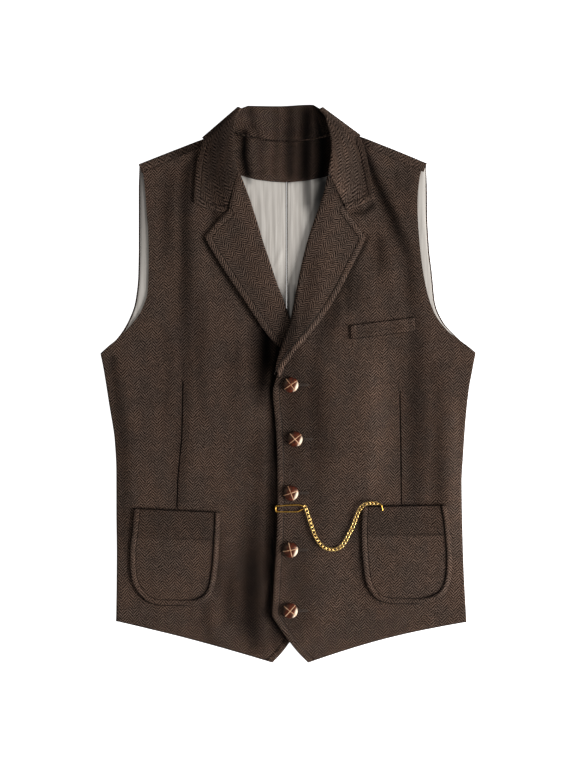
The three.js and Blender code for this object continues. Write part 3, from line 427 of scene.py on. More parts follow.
# Soft folds of the fronts: ridge from one end to the other, half width, height.
FOLD_COLUMNS = ["from_x", "from_y", "to_x", "to_y", "half_width", "height"]
FOLDS_RIGHT = [
    [-146, 262, -140, 120, 11, 1.7],
    [-116, 208, -112, 60, 15, 1.5],
    [-160, 60, -150, -90, 22, 1.2],
    [-84, -268, -108, -318, 10, 1.6],
    [-60, 30, -40, -180, 20, 1.3],
    [-196, 40, -206, -60, 7, 0.5],
    [-120, -60, -126, -150, 9, 0.4],
    [-70, -200, -62, -300, 9, 0.7],
    [-160, -284, -166, -312, 8, 0.6],
    [-124, 280, -116, 210, 6, 0.5],
]
FOLDS_LEFT = [
    [92, 160, 122, -10, 18, 1.5],
    [128, 262, 142, 120, 12, 2],
    [110, 222, 152, 20, 9, 1.2],
    [168, 40, 176, -110, 20, 1.4],
    [66, -150, 60, -290, 18, 1.3],
    [198, 30, 196, -230, 12, 2.2],
    [100, 60, 108, -130, 16, 1.0],
    [128, -284, 140, -322, 10, 0.6],
    [176, -282, 182, -312, 9, 0.6],
]

# Creases of the lining where it shows
LINING_CREASES = [
    [-46, 250, -40, 196, 2.6, 0.5],
    [-36, 252, -29, 176, 2.4, 0.6],
    [-26, 252, -22, 150, 2.8, 0.5],
    [-17, 250, -13, 130, 2.2, 0.6],
    [-9, 246, -7, 120, 2, 0.5],
    [-6.4, 172, -18, 138, 1.6, 0.8],
    [6, 248, 5, 150, 2.6, 0.6],
    [13, 250, 12, 160, 2.2, 0.5],
    [21, 250, 17, 150, 2.4, 0.7],
    [31, 246, 24, 186, 2.6, 0.5],
    [-181, 270, -181, 150, 1.6, 0.3],
    [164, 268, 171, 170, 1.8, 0.5],
    [169, 250, 167, 130, 1.6, 0.4],
    [-190, 110, -205, 62, 2.4, 0.3],
]
PLEAT = [4.2, 128, 5.6, 62, 2.3, 1.9]

# Patch pockets, from mouth to bottom. The mouth slants by its own ends.
POCKET_COLUMNS = ["left_x", "left_y", "right_x", "right_y"]
POCKET_RIGHT = table(POCKET_COLUMNS, [
    [-192, -155.2, -84, -160],
    [-193.6, -170, -84.3, -174],
    [-194.8, -184, -84.9, -187],
    [-195.6, -190, -85.2, -192.6],
    [-197.4, -206, -86, -208],
    [-197.6, -224, -87.4, -225],
    [-195.8, -243, -89.8, -243],
    [-190, -257, -93, -257],
    [-182, -267.5, -99.5, -267.5],
    [-172, -274, -108.5, -274],
    [-160, -277, -120, -277.4],
])
POCKET_LEFT = table(POCKET_COLUMNS, [
    [92.4, -153, 197.4, -151],
    [91.2, -168, 200.4, -167],
    [90.8, -181, 202, -180.4],
    [90.8, -187, 202.6, -187],
    [91.4, -205, 204.2, -205],
    [93, -225, 204.6, -225],
    [95.4, -244, 203, -244],
    [100.5, -257.5, 198.4, -257.5],
    [108, -267, 190, -267],
    [117.5, -272.6, 178, -272.6],
    [128, -274.8, 165, -275.2],
])
POCKET_BAND_ROW = 3

# Chest welt, left and right end of its upper and lower edge.
WELT = table(POCKET_COLUMNS, [
    [77.2, 72, 158.8, 82.4],
    [77.4, 66.4, 159, 76.6],
    [77.6, 60.6, 159.3, 70.8],
    [77.8, 55, 159.5, 65],
])

# Buttons: place, and turn of the crossed straps in degrees
BUTTONS = [
    (3.4, -1.7, 0),
    (8.6, -69.3, 4),
    (3.4, -136.4, -16),
    (2.9, -207.3, -24),
    (2.5, -283, 14),
]

# Watch chain route on the left front, from the clip to the pocket mouth. raise clears the pocket.
CHAIN_ROUTE = table(["x", "y", "raise"], [
    [21.6, -154.4, 0],
    [24, -161, 0],
    [28.3, -174.6, 0],
    [33.2, -188.2, 0],
    [39.8, -199.3, 0],
    [47.6, -205.4, 0],
    [56.2, -206.9, 0],
    [64, -204.6, 0],
    [70.6, -197.1, 0],
    [76.4, -186.6, 0],
    [81.1, -176.9, 0],
    [85.4, -165, 0.4],
    [89.6, -156, 1.6],
    [95.4, -150.6, 2.4],
    [102.6, -149, 2.4],
    [109, -149, 2.4],
])
CLIP_GAP = 0.4
CLIP_BEND_X = -12
CLIP_ROUTE = table(["x", "y", "rise"], [
    [21.2, -153.35, 1.75],
    [12.2, -151.3, 0],
    [0, -151.6, 0],
    [-9.6, -152.4, 0],
    [-14.2, -152.6, -0.1],
    [-15.4, -153.6, -1],
    [-15.5, -156.2, -1.2],
    [-15.4, -158.8, -1],
    [-14.2, -159.7, -0.1],
    [-9.6, -159.8, 0],
    [0, -159.8, 0],
    [11.2, -159.8, 0],
    [18.2, -156.6, 0.6],
])
HOOK_ROUTE = table(["x", "y", "rise"], [
    [109.35, -149, 6.1],
    [113, -149.3, 6],
    [115.4, -150.8, 5.8],
    [116.8, -153.2, 5.4],
    [117.3, -156, 5],
    [117.4, -158.6, 4.8],
])

# Painted soft shadow lines: place, half width, darkness. Below zero they are painted light.
SHADES_RIGHT = [
    [[-112, 284, 9, 0.6], [-124, 268, 10, 0.65], [-129, 230, 9, 0.65], [-128, 157, 9, 0.6], [-127, 100, 11, 0.45]],
    [[-127, 100, 11, 0.45], [-126, 40, 12, 0.35], [-128, -20, 9, 0.4], [-132, -80, 9, 0.4], [-137, -148, 8, 0.3]],
    [[-64, 70, 9, 0], [-66, 30, 12, 0.35], [-64, -10, 12, 0.15], [-66, -70, 12, 0]],
    [[-18, -60, 9, 0.8], [-18, -110, 9, 0.8], [-20, -160, 10, 0.9], [-24, -240, 11, 0.9]],
    [[-26, 66, 17, 1], [-28, 30, 19, 1], [-32, 0, 14, 0.9], [-34, -20, 10, 0.5]],
    [[-34, -60, 12, 0.25], [-38, -95, 13, 0.45], [-36, -130, 13, 0.3], [-42, -180, 15, 0.55]],
    [[-42, -180, 15, 0.55], [-44, -220, 18, 0.8], [-46, -260, 19, 0.85], [-46, -300, 17, 0.8], [-40, -324, 12, 0.6]],
    [[-68, -232, 10, 0.35], [-72, -262, 11, 0.55], [-72, -292, 10, 0.45]],
    [[-218, 30, 6, 0.5], [-212, -20, 9, 0.45], [-206, -70, 10, 0.5], [-204, -130, 9, 0.4], [-206, -200, 8, 0.3]],
    [[-146, 262, 9, 0.3], [-149, 215, 10, 0.35], [-150, 170, 9, 0.2]],
    [[-90, -186, 9, 0.3], [-92, -216, 11, 0.5], [-88, -248, 9, 0.35]],
    [[-91, 216, 6, 0.6], [-88, 200, 7, 0.4]],
    [[-110, 110, 9, 0.2], [-111, 60, 11, 0.4], [-110, 10, 10, 0.3], [-108, -40, 9, 0.15]],
    [[-148, 60, 9, 0.25], [-148, -20, 9, 0.3], [-147, -70, 8, 0.1]],
    [[-116, 297, 3, 0.7], [-118.6, 262, 3, 0.75], [-121, 226, 3, 0.6], [-119, 219, 3, 0.3]],
    [[-106, 181, 3, 0.75], [-99, 167, 3, 0.85], [-74.6, 128, 3, 0.85], [-44, 82, 3.4, 0.9], [-22, 50, 5, 0.95]],
    [[-12, 46, 8, 1], [-16, 20, 9, 1], [-21, -8, 7, 1], [-18, -40, 6, 1], [-16, -80, 6, 1]],
    [[-16, -80, 6, 1], [-15, -110, 5, 0.9], [-16, -139, 5, 0.9], [-18, -189, 7, 1], [-21, -240, 8, 1], [-25, -285, 8, 1]],
    [[-25, -285, 8, 1], [-14, -304, 7, 1], [-4, -320, 6, 0.9], [4, -336, 4, 0.8]],
    [[-14, -325, 9, 0.45], [-18, -310, 10, 0.45]],
    [[-108, -262, 5, 0], [-101, -290, 6, 0.3], [-97, -318, 7, 0.35], [-95, -330, 7, 0.3]],
    [[-131.4, 2, 1.4, 0], [-132.8, -66, 1.4, 0.2], [-137.6, -115, 1.4, 0.3], [-138.9, -154, 1.4, 0.3]],
]
SHADES_LEFT = [
    [[93, 300, 5, 0.8], [101, 276, 6, 0.9], [109, 255, 7, 0.9], [120, 230, 8, 0.88], [131, 209, 9, 0.85]],
    [[131, 209, 9, 0.85], [138, 189, 10, 0.8], [148, 166, 10, 0.65], [153, 140, 10, 0.55], [154, 100, 11, 0.45]],
    [[115, 176, 8, 0.45], [117, 152, 8, 0.45], [112, 132, 7, 0.1]],
    [[79, 142, 7, 0.5], [76, 120, 7, 0.55], [76, 96, 7, 0.45]],
    [[62, 100, 8, 0.5], [57, 78, 8, 0.55], [50, 60, 8, 0.3]],
    [[30, 92, 10, 0.4], [22, 72, 11, 0.5], [16, 50, 10, 0.45]],
    [[136, 262, 5, 0.35], [138, 240, 6, 0.3], [142, 215, 6, 0.1]],
    [[153, 140, 9, 0.4], [158, 90, 11, 0.35], [160, 50, 14, 0.45], [160, -40, 17, 0.5], [160, -100, 15, 0.45]],
    [[160, -100, 15, 0.45], [158, -150, 12, 0.35], [176, -175, 8, 0.3]],
    [[70, 150, 8, 0.3], [64, 118, 10, 0.45], [52, 85, 12, 0.5], [40, 60, 16, 0.5], [34, 20, 18, 0.5]],
    [[34, 20, 18, 0.5], [36, -30, 20, 0.55], [40, -80, 20, 0.5], [38, -120, 16, 0.3], [34, -200, 14, 0.3]],
    [[88, 130, 8, 0.3], [84, 100, 9, 0.2]],
    [[183, 20, 12, 0.3], [188, -40, 10, 0.25], [188, -110, 9, 0.35], [190, -150, 8, 0.3]],
    [[80, -172, 8, 0.3], [82, -210, 8, 0.25], [88, -245, 8, 0.2], [100, -272, 9, 0.1]],
    [[25, -2, 9, 0.5], [8, -30, 10, 0.3]],
    [[4, 60, 16, 0.55], [8, 20, 20, 0.5], [10, -60, 20, 0.4], [10, -150, 18, 0.2]],
    [[14, -190, 18, 0.2], [14, -240, 20, 0.3], [16, -300, 18, 0.25]],
    [[100, 50, 13, -0.2], [108, 10, 17, -0.35], [112, -50, 17, -0.4], [108, -120, 15, -0.3]],
    [[210, -30, 9, -0.2], [212, -100, 9, -0.4], [212, -180, 9, -0.3], [210, -260, 8, -0.1]],
    [[100, 182, 3, 0.5], [92.6, 166, 3, 0.6], [69, 119, 3, 0.55], [39.6, 73, 3, 0.5], [11, 38, 3, 0.4]],
    [[84, 212, 4, 0.6], [96, 214, 4, 0.7], [106, 222, 4, 0.7]],
    [[150, 266, 8, 0.25], [146, 220, 9, 0.3], [150, 180, 9, 0.1]],
    [[18, -2, 5, 0.6], [27, -3, 7, 0.35]],
    [[21, -68, 5, 0.5], [32, -69, 7, 0.25]],
    [[16, -137, 5, 0.5], [30, -137, 7, 0.25]],
    [[16, -207, 5, 0.4], [26, -208, 7, 0.2]],
    [[15, -283, 5, 0.3], [25, -284, 7, 0.15]],
    [[13, -44, 1.2, 0.4], [9.5, -100, 1.2, 0.3], [8.5, -190, 1.2, 0.3], [4.5, -262, 1.2, 0.4]],
    [[88, -160, 2, 0.5], [87.5, -190, 2, 0.5], [90, -230, 2, 0.5], [97.5, -259, 2, 0.5], [114, -275, 2, 0.3]],
]
LINING_SEAM_SHADE = [[[-1.9, 251, 1.1, 0.75], [-1.6, 190, 1.1, 0.75], [-1.9, 124, 1.1, 0.6]]]
SHADES_NECK = [
    [[38, 346, 14, 1], [42, 320, 18, 1], [43, 280, 20, 1], [41, 256, 17, 1]],
    [[24, 338, 13, 0.95], [23, 310, 14, 0.97], [22, 262, 14, 0.97], [24, 250, 9, 0.88], [25, 225, 8, 0.85], [29, 204, 6, 0.4]],
    [[44, 250, 16, 1], [40, 230, 15, 0.97], [37, 208, 9, 0.75], [27, 178, 2, 0.3], [14, 130, 2, 0.5]],
    [[3, 340, 9, 0.65], [3, 310, 10, 0.78], [3, 262, 10, 0.75], [3, 252, 4, 0.4]],
    [[-14, 340, 4, 0.35], [-14, 310, 5, 0.4], [-16, 262, 5, 0.4]],
    [[-54, 312, 7, 0.97], [-55, 285, 7, 1], [-51, 262, 7, 0.97], [-48, 252, 4, 0.5]],
    [[-46, 340, 5, 0.5], [-44, 322, 6, 0.5], [-34, 300, 6, 0.3], [-32, 262, 6, 0.35]],
    [[-186, 272, 14, 0.75], [-186, 230, 14, 0.55], [-188, 150, 12, 0.4], [-190, 110, 12, 0.2]],
    [[-61, 330, 2, 0.3], [-64, 300, 2, 0.3]],
    [[0.8, 124, 1.2, 0.6], [1, 110, 1.7, 0.95], [0.4, 90, 2.6, 1], [-2, 76, 6, 1]],
    [[7.4, 122, 1.2, 0.7], [8.4, 108, 1.8, 1], [7.4, 92, 2.2, 1], [5, 76, 4, 1]],
]

SHADES_YOKE = [
    [[-112, 294, 12, 0.75], [-130, 284, 14, 0.8], [-150, 276, 14, 0.15]],
    [[92, 306, 7, 0.7], [98, 286, 8, 0.6]],
]


# Level of the cloth

def fall_lift(x, y):
    """The fall of the collar lies under the back neck and lifts everything above it."""
    across = (x - NECK_CENTRE_X) / FALL_HALF_WIDTH
    beyond = np.maximum(np.abs(across) - 1, 0)
    edge = FALL_EDGE_Y + FALL_EDGE_CURVE * across * across + FALL_END_SLOPE * beyond
    return FALL_LIFT * smoothstep(y, edge - FALL_RAMP[0], edge - FALL_RAMP[1])


def back_level(x, y):
    return BACK_LEVEL + fall_lift(x, y)


def joined_line(lapel, leaf, x, y):
    """Line up a lapel and on along its collar leaf."""
    return {name: np.concatenate([lapel[source][::-1], leaf[source]]) for name, source in (("x", x), ("y", y))}


ROLL_RIGHT = joined_line(LAPEL_RIGHT, LEAF_RIGHT, "roll_x", "roll_y")
ROLL_LEFT = joined_line(LAPEL_LEFT, LEAF_LEFT, "roll_x", "roll_y")
ROLL_PLATEAU = 12
ROLL_FALL = 46
FACING_END_RIGHT = (0, 28)
FACING_END_LEFT = (-16, 12)


def facing_share(roll, side, ends, x, y):
    """Share of its step that the facing tucked under a roll line adds, 1 at the roll line."""
    inward = side * (x - read_table(roll, "y", "x", y))
    return smoothstep(y, *ends) * (1 - smoothstep(inward, ROLL_PLATEAU, ROLL_FALL))


FOLD_FADE = 0.3


def fold_height(folds, x, y):
    height = np.zeros(np.shape(x))
    for from_x, from_y, to_x, to_y, half_width, rise in folds:
        along_x = to_x - from_x
        along_y = to_y - from_y
        length = math.hypot(along_x, along_y)
        share = ((x - from_x) * along_x + (y - from_y) * along_y) / length ** 2
        away = ((x - from_x) * along_y - (y - from_y) * along_x) / length
        fade = smoothstep(share, 0, FOLD_FADE) * (1 - smoothstep(share, 1 - FOLD_FADE, 1))
        height = height + rise * fade * np.exp(-((away / half_width) ** 2))
    return height


def front_right_level(x, y):
    base = FRONT_LEVEL + fall_lift(x, y)
    facing = FACING_STEP * facing_share(ROLL_RIGHT, -1, FACING_END_RIGHT, x, y)
    return base + facing + fold_height(FOLDS_RIGHT, x, y)


UNDER_EDGE = {"x": FRONT_RIGHT["edge_x"], "y": FRONT_RIGHT["edge_y"]}
UNDER_LAPEL_EDGE = {"x": LAPEL_RIGHT["out_x"][::-1], "y": LAPEL_RIGHT["out_y"][::-1]}
UNDER_LAPEL_END = (4, 28)
UNDER_LAPEL_RAMP = (21, 2)
OVERLAP_NEAR = 10
OVERLAP_FAR = 46


def under_lapel_share(x, y):
    """Share of the under lapel below a point, 1 where the lapel is."""
    outer = read_table(UNDER_LAPEL_EDGE, "y", "x", y)
    across = smoothstep(x, outer - UNDER_LAPEL_RAMP[0], outer - UNDER_LAPEL_RAMP[1])
    return across * smoothstep(y, *UNDER_LAPEL_END)


def front_left_level(x, y):
    own = FRONT_LEVEL + fall_lift(x, y)
    under_edge = read_table(UNDER_EDGE, "y", "x", y)
    lapel = (LAPEL_STEP + SEAM_GAP) * under_lapel_share(x, y)
    under = front_right_level(np.minimum(x, under_edge), y) + OVERLAP_STEP + lapel
    overlap = 1 - smoothstep(x, under_edge + OVERLAP_NEAR, under_edge + OVERLAP_FAR)
    facing = FACING_STEP * facing_share(ROLL_LEFT, 1, FACING_END_LEFT, x, y)
    return lerp(own, under, overlap) + facing + fold_height(FOLDS_LEFT, x, y)


def distance_to(line, x, y):
    """Distance in plan from points to a line of (x, y) points."""
    nearest = np.full(np.shape(x), np.inf)
    for (ax, ay), (bx, by) in zip(line, line[1:]):
        length = max((bx - ax) ** 2 + (by - ay) ** 2, 1e-9)
        share = np.clip(((x - ax) * (bx - ax) + (y - ay) * (by - ay)) / length, 0, 1)
        nearest = np.minimum(nearest, np.hypot(x - ax - share * (bx - ax), y - ay - share * (by - ay)))
    return nearest


def shade_at(strokes, x, y):
    """Darkness of soft shadow lines at points in plan. Lines of light are below zero."""
    dark = np.zeros(np.shape(x))
    light = np.zeros(np.shape(x))
    for stroke in strokes:
        for start, end in zip(stroke, stroke[1:]):
            along = (end[0] - start[0], end[1] - start[1])
            length = along[0] ** 2 + along[1] ** 2
            share = np.clip(((x - start[0]) * along[0] + (y - start[1]) * along[1]) / length, 0, 1)
            away = np.hypot(x - start[0] - share * along[0], y - start[1] - share * along[1])
            soft = np.exp(-((away / lerp(start[2], end[2], share)) ** 2))
            depth = lerp(start[3], end[3], share) * soft
            dark = np.maximum(dark, depth)
            light = np.minimum(light, depth)
    return dark + light


# Shells from grids of points on the middle of the cloth

RIM = 0.4
RIM_ANGLES = (45, 0, -45)
NO_MARK = 99


def unit(vectors):
    return vectors / np.linalg.norm(vectors, axis=-1, keepdims=True)


def grid_normals(grid):
    along_rows = np.gradient(grid, axis=0)
    along_columns = np.gradient(grid, axis=1)
    return unit(np.cross(along_columns, along_rows))


def loop_of(rows, columns):
    """Indices of a grid's border, in order."""
    bottom = [(0, column) for column in range(columns)]
    right = [(row, columns - 1) for row in range(1, rows)]
    top = [(rows - 1, column) for column in range(columns - 2, -1, -1)]
    left = [(row, 0) for row in range(rows - 2, 0, -1)]
    return np.array(bottom + right + top + left).T


def shell(name, grid, thickness, material, uv, marks):
    """A closed wall of even thickness with round edges, as a mesh object."""
    rows, columns = grid.shape[:2]
    normals = grid_normals(grid)
    loop = tuple(loop_of(rows, columns))
    border = grid[loop]
    tangents = unit(np.roll(border, -1, axis=0) - np.roll(border, 1, axis=0))
    outward = unit(np.cross(tangents, normals[loop]))
    middle = grid.copy()
    middle[loop] = border - RIM * outward
    layers = [(middle + side * thickness / 2 * normals).reshape(-1, 3) for side in (1, -1)]
    for angle in np.radians(RIM_ANGLES):
        reach = RIM * np.cos(angle) * outward + thickness / 2 * np.sin(angle) * normals[loop]
        layers.append(middle[loop] + reach)
    points = np.concatenate(layers) * MM

    index = np.arange(rows * columns).reshape(rows, columns)
    top = np.stack([index[:-1, :-1], index[:-1, 1:], index[1:, 1:], index[1:, :-1]], axis=-1).reshape(-1, 4)
    under = top[:, ::-1] + rows * columns
    flat_loop = index[loop]
    count = len(flat_loop)
    first_ring = 2 * rows * columns
    rings = [flat_loop] + [first_ring + ring * count + np.arange(count) for ring in range(len(RIM_ANGLES))]
    rings.append(flat_loop + rows * columns)
    faces = [top, under]
    for upper, lower in zip(rings, rings[1:]):
        faces.append(np.stack([upper, lower, np.roll(lower, -1), np.roll(upper, -1)], axis=-1))
    faces = np.concatenate(faces)

    mesh = bpy.data.meshes.new(name)
    mesh.from_pydata(points.tolist(), [], faces.tolist())
    source = np.concatenate([index.ravel(), index.ravel()] + [flat_loop] * len(RIM_ANGLES))
    corners = np.empty(len(mesh.loops), dtype=np.int32)
    mesh.loops.foreach_get("vertex_index", corners)
    layer = mesh.uv_layers.new(name="cloth")
    layer.data.foreach_set("uv", (uv.reshape(-1, 2)[source][corners]).astype(np.float32).ravel())
    for mark in ("edge", "dart", "shade"):
        values = marks.get(mark, np.full(grid.shape[:2], 0.0 if mark == "shade" else NO_MARK))
        attribute = mesh.attributes.new(mark, "FLOAT", "POINT")
        attribute.data.foreach_set("value", values.ravel()[source].astype(np.float32))
    mesh.shade_smooth()
    mesh.materials.append(material)
    return bpy.data.objects.new(name, mesh)


def add_piece(piece, slot, *nodes):
    """Puts a piece in the scene, on the body, in place of its solids."""
    bpy.context.scene.collection.objects.link(piece)
    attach(piece, BODY)
    if nodes:
        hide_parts(*nodes)
    return piece


def facing_up(grid, *others):
    """The grids with their columns in the order that puts the cloth's face up."""
    if grid_normals(grid)[..., 2].mean() > 0:
        return (grid, *others)
    return tuple(other[:, ::-1] for other in (grid, *others))


# Materials

class Nodes:
    """Short calls for the nodes of one material."""

    def __init__(self, name):
        self.material = bpy.data.materials.new(name)
        self.material.use_nodes = True
        self.tree = self.material.node_tree
        self.shader = self.tree.nodes["Principled BSDF"]

    def add(self, kind, **settings):
        made = self.tree.nodes.new("ShaderNode" + kind)
        for key, value in settings.items():
            setattr(made, key, value)
        return made

    def feed(self, socket, value):
        if isinstance(value, bpy.types.NodeSocket):
            self.tree.links.new(value, socket)
        else:
            socket.default_value = value

    def math(self, operation, *values):
        made = self.add("Math", operation=operation)
        for socket, value in zip(made.inputs, values):
            self.feed(socket, value)
        return made.outputs[0]

    def mix(self, share, first, second):
        made = self.add("Mix", data_type="RGBA")
        sockets = [socket for socket in made.inputs if socket.enabled]
        for socket, value in zip(sockets, (share, first, second)):
            self.feed(socket, value)
        return next(socket for socket in made.outputs if socket.enabled)

    def scaled(self, vector, scale):
        made = self.add("VectorMath", operation="MULTIPLY")
        self.feed(made.inputs[0], vector)
        self.feed(made.inputs[1], scale)
        return made.outputs[0]

    def noise(self, vector, scale, detail=2.0, roughness=0.5):
        made = self.add("TexNoise")
        self.feed(made.inputs["Vector"], self.scaled(vector, scale))
        made.inputs["Scale"].default_value = 1
        made.inputs["Detail"].default_value = detail
        made.inputs["Roughness"].default_value = roughness
        return made.outputs[0]

    def attribute(self, name):
        return self.add("Attribute", attribute_name=name).outputs["Fac"]

    def map_range(self, value, low, high, to_low=0.0, to_high=1.0, smooth=True):
        made = self.add("MapRange", interpolation_type="SMOOTHSTEP" if smooth else "LINEAR")
        for socket, given in zip(made.inputs, (value, low, high, to_low, to_high)):
            self.feed(socket, given)
        return made.outputs[0]

    def bump(self, height, distance, strength=1.0):
        made = self.add("Bump")
        self.feed(made.inputs["Height"], height)
        made.inputs["Distance"].default_value = distance
        made.inputs["Strength"].default_value = strength
        self.feed(self.shader.inputs["Normal"], made.outputs[0])

    def set(self, **values):
        for key, value in values.items():
            self.feed(self.shader.inputs[key.replace("_", " ")], value)


def colour(red, green, blue):
    """Linear colour from a screen colour of 0 to 255."""
    linear = [((channel / 255 + 0.055) / 1.055) ** 2.4 for channel in (red, green, blue)]
    return (*linear, 1.0)


WEAVE_COLUMN = 7.4
WEAVE_PITCH = 3.75
WEAVE_SLOPE = 1.05
STITCH_INSET = 7.5
STITCH_GROOVE = 1.1
DART_GROOVE = 1.5


def weave(nodes, cloth):
    """Height of the herringbone's diagonal threads, 0 to 1, from a place in millimetres."""
    split = nodes.add("SeparateXYZ")
    nodes.feed(split.inputs[0], cloth)
    across, along = split.outputs[0], split.outputs[1]
    stripe = nodes.math("DIVIDE", across, WEAVE_COLUMN)
    odd = nodes.math("FLOORED_MODULO", nodes.math("FLOOR", stripe), 2)
    way = nodes.math("MULTIPLY_ADD", odd, 2, -1)
    centred = nodes.math("SUBTRACT", nodes.math("FRACT", stripe), 0.5)
    slant = nodes.math("MULTIPLY", nodes.math("MULTIPLY", centred, WEAVE_COLUMN * WEAVE_SLOPE), way)
    wobble = nodes.math("MULTIPLY_ADD", nodes.noise(cloth, (0.35, 0.2, 0.3)), 3.0, -1.5)
    shifted = nodes.math("MULTIPLY_ADD", odd, WEAVE_PITCH / 2, slant)
    place = nodes.math("ADD", nodes.math("ADD", along, shifted), wobble)
    wave = nodes.math("SINE", nodes.math("MULTIPLY", place, 2 * math.pi / WEAVE_PITCH))
    return nodes.math("MULTIPLY_ADD", wave, 0.5, 0.5)


def groove(nodes, distance, half_width):
    """1 on a sewn line, 0 from half_width off it."""
    return nodes.map_range(nodes.math("ABSOLUTE", distance), 0.0, half_width, 1.0, 0.0)


def tweed_material():
    nodes = Nodes("herringbone tweed")
    cloth = nodes.add("UVMap", uv_map="cloth").outputs[0]
    threads = weave(nodes, cloth)
    yarn = nodes.noise(cloth, (1.1, 0.8, 0.9), 3.0, 0.8)
    fleck = nodes.noise(cloth, (1.3, 0.8, 1.0), 1.0)
    patch = nodes.noise(cloth, (0.03, 0.025, 0.03), 3.0, 0.6)
    clear = nodes.map_range(nodes.noise(cloth, (0.12, 0.12, 0.12)), 0.35, 0.65, 0.3, 1.05)
    ridges = nodes.math("MULTIPLY_ADD", nodes.math("SUBTRACT", threads, 0.5), clear, 0.5)
    rough = nodes.math("MULTIPLY_ADD", yarn, 3.6, -1.8)
    lit = nodes.map_range(nodes.math("ADD", ridges, rough), 0.24, 1.04)
    body = nodes.mix(lit, colour(12, 8, 6), colour(108, 90, 79))
    tint = nodes.mix(nodes.map_range(patch, 0.36, 0.64), (0.9, 0.9, 0.91, 1), (1.12, 1.03, 0.98, 1))
    tinted = nodes.scaled(body, tint)
    flecked = nodes.mix(nodes.map_range(fleck, 0.58, 0.74, 0.0, 0.6), tinted, colour(122, 104, 93))
    sewn = nodes.math("SUBTRACT", nodes.attribute("edge"), STITCH_INSET)
    dart = nodes.math("MULTIPLY", groove(nodes, nodes.attribute("dart"), DART_GROOVE), 1.6)
    lines = nodes.math("MAXIMUM", groove(nodes, sewn, STITCH_GROOVE), dart)
    lit_share = nodes.math("SUBTRACT", 1, nodes.attribute("shade"))
    tone = nodes.math("MULTIPLY", nodes.math("MULTIPLY_ADD", lines, -0.6, 1), lit_share)
    nodes.set(
        Base_Color=nodes.scaled(flecked, tone),
        Roughness=0.95,
        Sheen_Weight=0.02,
        Specular_IOR_Level=0.02,
    )
    height = nodes.math("MULTIPLY_ADD", threads, 0.4, nodes.math("MULTIPLY", yarn, 0.5))
    nodes.bump(nodes.math("SUBTRACT", height, lines), 0.6 * MM, 1.0)
    return nodes.material


def satin_material():
    nodes = Nodes("cream satin")
    cloth = nodes.add("UVMap", uv_map="cloth").outputs[0]
    streak = nodes.noise(cloth, (0.28, 0.012, 0.1), 2.0, 0.5)
    fine = nodes.noise(cloth, (1.2, 0.08, 1.0), 1.0)
    base = nodes.mix(nodes.map_range(streak, 0.3, 0.7), colour(184, 177, 169), colour(212, 206, 198))
    nodes.set(
        Base_Color=nodes.mix(nodes.attribute("shade"), base, colour(8, 6, 6)),
        Roughness=0.5,
        Specular_IOR_Level=0.3,
        Sheen_Weight=0.1,
    )
    nodes.bump(nodes.math("MULTIPLY_ADD", fine, 0.15, streak), 0.5 * MM, 0.35)
    return nodes.material


PAINTED_HIGHLIGHT = colour(255, 236, 208)
WARM_GLOSS = (1.0, 0.66, 0.46, 1.0)


def leather_material(name, low, high):
    nodes = Nodes(name)
    place = nodes.add("TexCoord").outputs["Object"]
    mottle = nodes.noise(place, (260.0, 260.0, 260.0), 3.0, 0.6)
    grain = nodes.noise(place, (1900.0, 1900.0, 1900.0), 2.0)
    base = nodes.mix(nodes.map_range(mottle, 0.35, 0.65), low, high)
    # glow holds painted light: above zero it mixes in a painted highlight colour, below zero it darkens the base colour
    # as painted shade.
    glow = nodes.attribute("glow")
    highlight_share = nodes.math("MULTIPLY", glow, nodes.map_range(mottle, 0.25, 0.6, 0.6, 1.0))
    nodes.set(
        Base_Color=nodes.scaled(nodes.mix(highlight_share, base, PAINTED_HIGHLIGHT), nodes.map_range(glow, -1.0, 0.0, 0.12, 1.0)),
        Roughness=0.4,
        IOR=1.6,
        Specular_IOR_Level=0.5,
        Specular_Tint=WARM_GLOSS,
    )
    nodes.bump(grain, 0.15 * MM, 0.5)
    return nodes.material


def gold_material(name, low, high):
    nodes = Nodes(name)
    place = nodes.add("TexCoord").outputs["Object"]
    wear = nodes.noise(place, (700.0, 700.0, 700.0), 2.0)
    nodes.set(
        Base_Color=nodes.mix(wear, low, high),
        Roughness=nodes.map_range(wear, 0.3, 0.7, 0.22, 0.32),
        Metallic=1.0,
    )
    return nodes.material


def thread_material():
    nodes = Nodes("sewing thread")
    place = nodes.add("TexCoord").outputs["Object"]
    twist = nodes.noise(place, (900.0, 900.0, 900.0), 2.0)
    nodes.set(Base_Color=nodes.mix(twist, colour(26, 20, 17), colour(88, 74, 65)), Roughness=0.8)
    nodes.bump(twist, 0.1 * MM, 0.5)
    return nodes.material


def floor_material():
    nodes = Nodes("white table")
    white = (1.0, 1.0, 1.0, 1.0)
    nodes.set(Base_Color=white, Emission_Color=white, Emission_Strength=1.0, Roughness=1.0, Specular_IOR_Level=0.0)
    return nodes.material


TWEED_LOOK = tweed_material()
SATIN_LOOK = satin_material()
LEATHER_LOOK = leather_material("dark leather", colour(30, 5, 2), colour(88, 28, 11))
STRAP_LOOK = leather_material("tan leather", colour(176, 122, 88), colour(232, 190, 152))
GOLD_LOOK = gold_material("gold-coloured metal", colour(242, 184, 92), colour(255, 228, 158))
WIRE_LOOK = gold_material("darker gold wire", colour(220, 154, 54), colour(252, 208, 108))
THREAD_LOOK = thread_material()


# Camera

def make_camera():
    data = bpy.data.cameras.new("camera")
    data.sensor_width = SENSOR
    data.lens = LENS
    camera = bpy.data.objects.new("camera", data)
    camera.location = (CAMERA_X, CAMERA_Y, PICTURE_HEIGHT * LENS / SENSOR)
    data.clip_end = 20
    bpy.context.scene.collection.objects.link(camera)
    bpy.context.scene.camera = camera


make_camera()


# Watch chain, clip and hook

